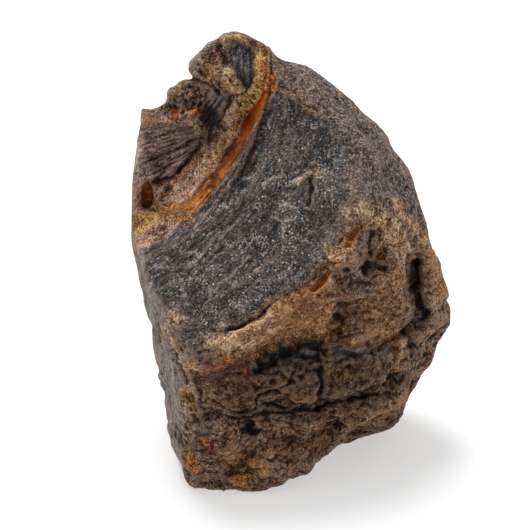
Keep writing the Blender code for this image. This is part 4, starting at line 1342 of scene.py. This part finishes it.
def smooth_tone(s):
    """The smooth face: dark, with pale specks in clusters, streaks by the break, threads and worn places."""
    near_break = s.ramp(s.attribute("rib"), -16.0, -2.0, 0.5)
    lined = s.blend(s.speckle, s.streak, s.math("ADD", near_break, 0.08))
    specks = s.blend(lined, s.noise(0.24, 0.0, 0.5, seed=71.0), 0.25)
    clusters = s.math("ADD", s.ramp(s.patch, 0.42, 0.58, 0.6), 0.15)
    tone = s.speckled(specks, (0.018, 0.015, 0.016), smooth_middle(s), (0.42, 0.375, 0.355), clusters)
    tone = s.mix(s.times(s.stars, s.ramp(s.blotch, 0.36, 0.56)), tone, (0.62, 0.57, 0.54))
    threads = s.times(s.fibres(4.0, 77.0, 0.012), s.ramp(s.patch, 0.45, 0.52, 0.8))
    tone = s.mix(threads, tone, (0.36, 0.32, 0.29))
    worn = s.ramp(s.noise(2.6, 3.0, 0.7, seed=44.0), 0.52, 0.6, 0.8)
    worn_tone = s.speckled(lined, (0.02, 0.017, 0.017), (0.028, 0.025, 0.026), (0.12, 0.11, 0.11))
    return s.mix(worn, tone, worn_tone)


def mottled_tone(s):
    """Brown to tan in small patches."""
    middle = s.mix(s.ramp(s.patch, 0.38, 0.62), (0.065, 0.034, 0.023), (0.18, 0.095, 0.058))
    middle = s.mix(s.ramp(s.tint, 0.54, 0.64, 0.8), middle, (0.05, 0.017, 0.012))
    return s.speckled(s.speckle, (0.02, 0.009, 0.006), middle, (0.44, 0.28, 0.19), s.clusters, 1.3)


def lip_tone(s):
    """Orange brown, with soft grain."""
    middle = s.mix(s.ramp(s.patch, 0.4, 0.6), (0.17, 0.06, 0.02), (0.32, 0.15, 0.055))
    middle = s.mix(s.ramp(s.tint, 0.47, 0.62), middle, (0.5, 0.27, 0.12))
    middle = s.mix(s.ramp(s.blotch, 0.5, 0.4, 0.7), middle, (0.12, 0.04, 0.018))
    soft = s.blend(s.speckle, s.grain, 0.5)
    return s.speckled(soft, (0.1, 0.038, 0.015), middle, (0.7, 0.46, 0.26), 0.9, 1.7)


def cream_tone(s):
    """Cream to tan, with soft specks."""
    middle = s.mix(s.ramp(s.grain, 0.42, 0.56), (0.32, 0.15, 0.055), (0.63, 0.42, 0.26))
    return s.speckled(s.speckle, (0.17, 0.07, 0.027), middle, (0.88, 0.66, 0.46), 1.0, 1.5)


def facet_tone(s):
    """Black glass, with grey strings that hang down, which are painted glints."""
    hanging = s.drawn_out("sideways", "down", 0.12)
    glints = s.blend(s.noise(0.32, 2.0, 0.7, hanging, seed=83.0), s.speckle, 0.25)
    return s.speckled(glints, (0.003, 0.003, 0.004), (0.006, 0.006, 0.008), (0.16, 0.16, 0.17), 0.6)


def plate_tone(s):
    """Dark glass, with streaks that run down to the left."""
    streaky = s.drawn_out("across", "along", 0.15)
    streaks = s.blend(s.noise(0.3, 2.0, 0.7, streaky, seed=81.0), s.speckle, 0.3)
    return s.speckled(streaks, (0.007, 0.004, 0.005), (0.02, 0.013, 0.015), (0.2, 0.15, 0.16), 0.8)


def crumbly_tone(s):
    """Olive to orange flakes, with pale yellow ones and threads between."""
    leaning = s.drawn_out("along", "across", 0.3)
    flakes = s.blend(s.noise(0.55, 3.0, 0.7, leaning, seed=87.0), s.speckle, 0.35)
    # orange where the band's painted glow runs: painted light
    middle = s.mix(s.attribute("glow"), (0.4, 0.19, 0.03), (0.65, 0.14, 0.012))
    middle = s.mix(s.ramp(s.tint, 0.46, 0.52), (0.15, 0.045, 0.01), middle)
    tone = s.speckled(flakes, (0.04, 0.012, 0.003), middle, (0.78, 0.5, 0.15), 0.9, 1.3)
    return s.mix(s.fibres(0.9, 37.0, 0.04), tone, (0.85, 0.62, 0.24))


def backing_tone(s):
    """What shows through the clear amber: golden brown, with dark and bright streaks and a glow that is
    painted light.
    """
    tone = s.mix(s.ramp(s.patch, 0.42, 0.58), (0.18, 0.055, 0.014), (0.42, 0.16, 0.035))
    tone = s.mix(s.attribute("rose"), tone, (0.6, 0.25, 0.14))
    tone = s.mix(s.attribute("wedge"), tone, (0.36, 0.16, 0.03))
    tone = s.mix(s.ramp(s.streak, 0.48, 0.42, 0.9), tone, (0.06, 0.018, 0.008))
    # bright orange along the band: painted glow, standing in for light inside the amber
    tone = s.mix(s.times(s.attribute("glow"), 0.85), tone, (0.75, 0.2, 0.015))
    tone = s.mix(s.ramp(s.streak, 0.54, 0.6, 0.7), tone, (0.8, 0.42, 0.2))
    tone = s.mix(s.ramp(s.speckle, 0.48, 0.42, 0.35), tone, (0.05, 0.018, 0.005))
    flecks = s.blend(s.grain_up, s.speckle, 0.4)
    flecked = s.speckled(flecks, (0.02, 0.008, 0.003), (0.16, 0.07, 0.014), (0.9, 0.6, 0.16))
    return s.mix(s.attribute("dim"), tone, flecked)


# The regions in the order that they are laid over the rough crust
REGION_TONES = {
    "mottled": mottled_tone,
    "shoulder": shoulder_tone,
    "left_side": left_side_tone,
    "fan": fan_tone,
    "slope": slope_tone,
    "lip": lip_tone,
    "smooth": smooth_tone,
}


def painted(s, colour):
    """Lays the painted marks and the glassy places over a colour."""
    colour = s.mix(s.attribute("dust"), colour, s.mark_tone("dust"))
    colour = s.mix(s.times(s.attribute("tan"), s.ramp(s.patch, 0.3, 0.5)), colour, s.mark_tone("tan"))
    colour = s.mix(s.times(s.attribute("line"), s.ramp(s.speckle, 0.41, 0.48)), colour, PALE_LINE)
    colour = s.mix(s.times(s.attribute("cream"), s.ramp(s.grain, 0.38, 0.48)), colour, cream_tone(s))
    for name in ("red", "amber", "yellow", "dark"):
        colour = s.mix(s.attribute(name), colour, s.mark_tone(name))
    colour = s.mix(s.attribute("facet"), colour, facet_tone(s))
    colour = s.mix(s.attribute("plate"), colour, plate_tone(s))
    colour = s.mix(s.attribute("crumbly"), colour, crumbly_tone(s))
    return s.mix(s.attribute("ember"), colour, s.mark_tone("ember"))


def weathered(s, colour):
    """Pales what stands out, as wear and painted highlight, and darkens pits and hollows, as dirt and painted
    shade, less of it in some places.
    """
    without_pale_edges = s.greatest(("red", "ember"))
    rubbed_and_lit = s.blend(0.0, s.blend(0.3, 0.0, without_pale_edges), s.attribute("edge"))
    # pale on edges that stand out: wear and painted highlight
    colour = s.mix(rubbed_and_lit, colour, RUBBED_AND_HIGHLIT)
    less_dirt_and_shade = s.greatest(LESS_DIRT_AND_SHADE)
    # dark in small pits: dirt and painted shade
    colour = s.mix(s.times(s.attribute("pit"), s.blend(0.8, 0.35, less_dirt_and_shade)), colour, DIRT_AND_SHADE)
    # dark in broad hollows: grime and painted shade
    return s.mix(s.times(s.attribute("low"), s.blend(0.6, 0.3, less_dirt_and_shade)), colour, GRIME_AND_SHADE)


def finish_crust(s):
    """Dull, glossier in some pits and on the glassy places, with fine grain."""
    gloss = s.attribute("gloss")
    dull = s.math("ADD", s.times(s.grain, -0.3), 0.8)
    s.link(s.math("ADD", dull, s.times(gloss, -0.4)), s.shader.inputs["Roughness"])
    s.link(s.math("ADD", s.times(gloss, 0.5), 0.08), s.shader.inputs["Specular IOR Level"])
    curled = s.times(s.curls, s.blend(0.25, 0.0, s.greatest(FREE_OF_CURLS)))
    s.link(s.bump(s.math("ADD", s.speckle, curled), 0.5), s.shader.inputs["Normal"])


def crust_material():
    s = CrustShading()
    colour = rough_tone(s)
    for name, tone in REGION_TONES.items():
        colour = s.mix(s.attribute(name), colour, tone(s))
    colour = weathered(s, painted(s, colour))
    colour = s.mix(s.attribute("backing"), colour, backing_tone(s))
    s.link(colour, s.shader.inputs["Base Color"])
    finish_crust(s)
    return s.material


def clear_material():
    """Cloudy amber, deeper in colour the further one sees into it."""
    s = Shading("clear_amber")
    flaw = s.noise(0.6, 4.0, 0.7, seed=4.0)
    tint = s.mix(s.ramp(flaw, 0.35, 0.65), (0.95, 0.6, 0.3), (1.0, 0.86, 0.62))
    s.link(tint, s.shader.inputs["Base Color"])
    s.shader.inputs["Transmission Weight"].default_value = 1.0
    s.shader.inputs["IOR"].default_value = 1.54
    s.shader.inputs["Roughness"].default_value = 0.3
    s.shader.inputs["Specular Tint"].default_value = (0.3, 0.16, 0.08, 1)
    s.link(s.bump(flaw, 0.2), s.shader.inputs["Normal"])
    absorb = s.tree.nodes.new("ShaderNodeVolumeAbsorption")
    absorb.inputs["Color"].default_value = (0.95, 0.68, 0.05, 1)
    absorb.inputs["Density"].default_value = 700
    s.link(absorb.outputs[0], s.tree.nodes["Material Output"].inputs["Volume"])
    return s.material


# --- stage -------------------------------------------------------------------------------------------


def floor():
    """A pale floor that glows a little, so that it stays nearly white."""
    bpy.ops.object.select_all(action="DESELECT")
    bpy.ops.mesh.primitive_plane_add(size=6.0, location=(0, 0, 0))
    ground = bpy.context.object
    ground.name = "floor"
    material = bpy.data.materials.new("pale_floor")
    material.use_nodes = True
    shader = material.node_tree.nodes["Principled BSDF"]
    shader.inputs["Base Color"].default_value = (0.5, 0.5, 0.5, 1)
    shader.inputs["Roughness"].default_value = 0.9
    shader.inputs["Specular IOR Level"].default_value = 0.0
    shader.inputs["Emission Color"].default_value = (1, 1, 1, 1)
    shader.inputs["Emission Strength"].default_value = 0.5
    ground.data.materials.append(material)


def sun(name, towards, strength, angle):
    """A soft lamp far away, in the direction towards."""
    lamp = bpy.data.lights.new(name, "SUN")
    lamp.energy = strength
    lamp.angle = math.radians(angle)
    obj = bpy.data.objects.new(name, lamp)
    obj.rotation_euler = Vector(towards).to_track_quat("Z", "Y").to_euler()
    bpy.context.scene.collection.objects.link(obj)


def studio_light():
    """Even light from all round, a wide lamp overhead, a stronger and harder one, and two at the sides."""
    world = bpy.data.worlds.new("studio")
    bpy.context.scene.world = world
    world.use_nodes = True
    background = world.node_tree.nodes["Background"]
    background.inputs["Color"].default_value = (1, 1, 1, 1)
    background.inputs["Strength"].default_value = 0.2
    sun("overhead light", (0.0, 0.35, 0.9), 0.9, 100)
    sun("key light", (-0.15, 0.28, 0.9), 2.8, 24)
    sun("left light", (-1.0, -0.2, 0.35), 0.9, 40)
    sun("right light", (1.0, 0.1, 0.4), 0.6, 40)
    bpy.context.scene.view_settings.view_transform = "Standard"


def camera():
    lens = bpy.data.cameras.new("camera")
    lens.sensor_width = SENSOR_WIDTH
    lens.lens = SENSOR_WIDTH * CAMERA_DISTANCE / (FRAME_PIXELS * MM_PER_PIXEL)
    lens.clip_start = 0.01
    obj = bpy.data.objects.new("camera", lens)
    obj.location = Vector(CAMERA_PLACE * MM)
    obj.rotation_euler = (math.pi / 2 - CAMERA_PITCH, 0, 0)
    bpy.context.scene.collection.objects.link(obj)
    bpy.context.scene.camera = obj


def main():
    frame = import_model()
    cad_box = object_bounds()
    camera()
    studio_light()
    floor()

    stone = fine_copy(frame["nodes"]["raw_amber"])
    survey = sculpt(stone)
    low, high = (np.array(corner) / MM for corner in cad_box)
    set_points(stone, np.clip(points_of(stone), low, high))
    depth = clear_depth(survey)
    outward = spread(points_of(stone, "normal"), survey.links, 6)
    outward /= np.linalg.norm(outward, axis=1)[:, None]
    clear = clear_shell(stone, depth, outward)
    set_points(stone, points_of(stone) - outward * depth[:, None])
    write_attributes(stone, survey, depth)
    for piece in (stone, clear):
        set_points(piece, points_of(piece) * MM)
        piece.data.shade_smooth()
        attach(piece, "root")
    stone.data.materials.append(crust_material())
    clear.data.materials.append(clear_material())
    clear.visible_shadow = False
    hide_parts("raw_amber")


main()
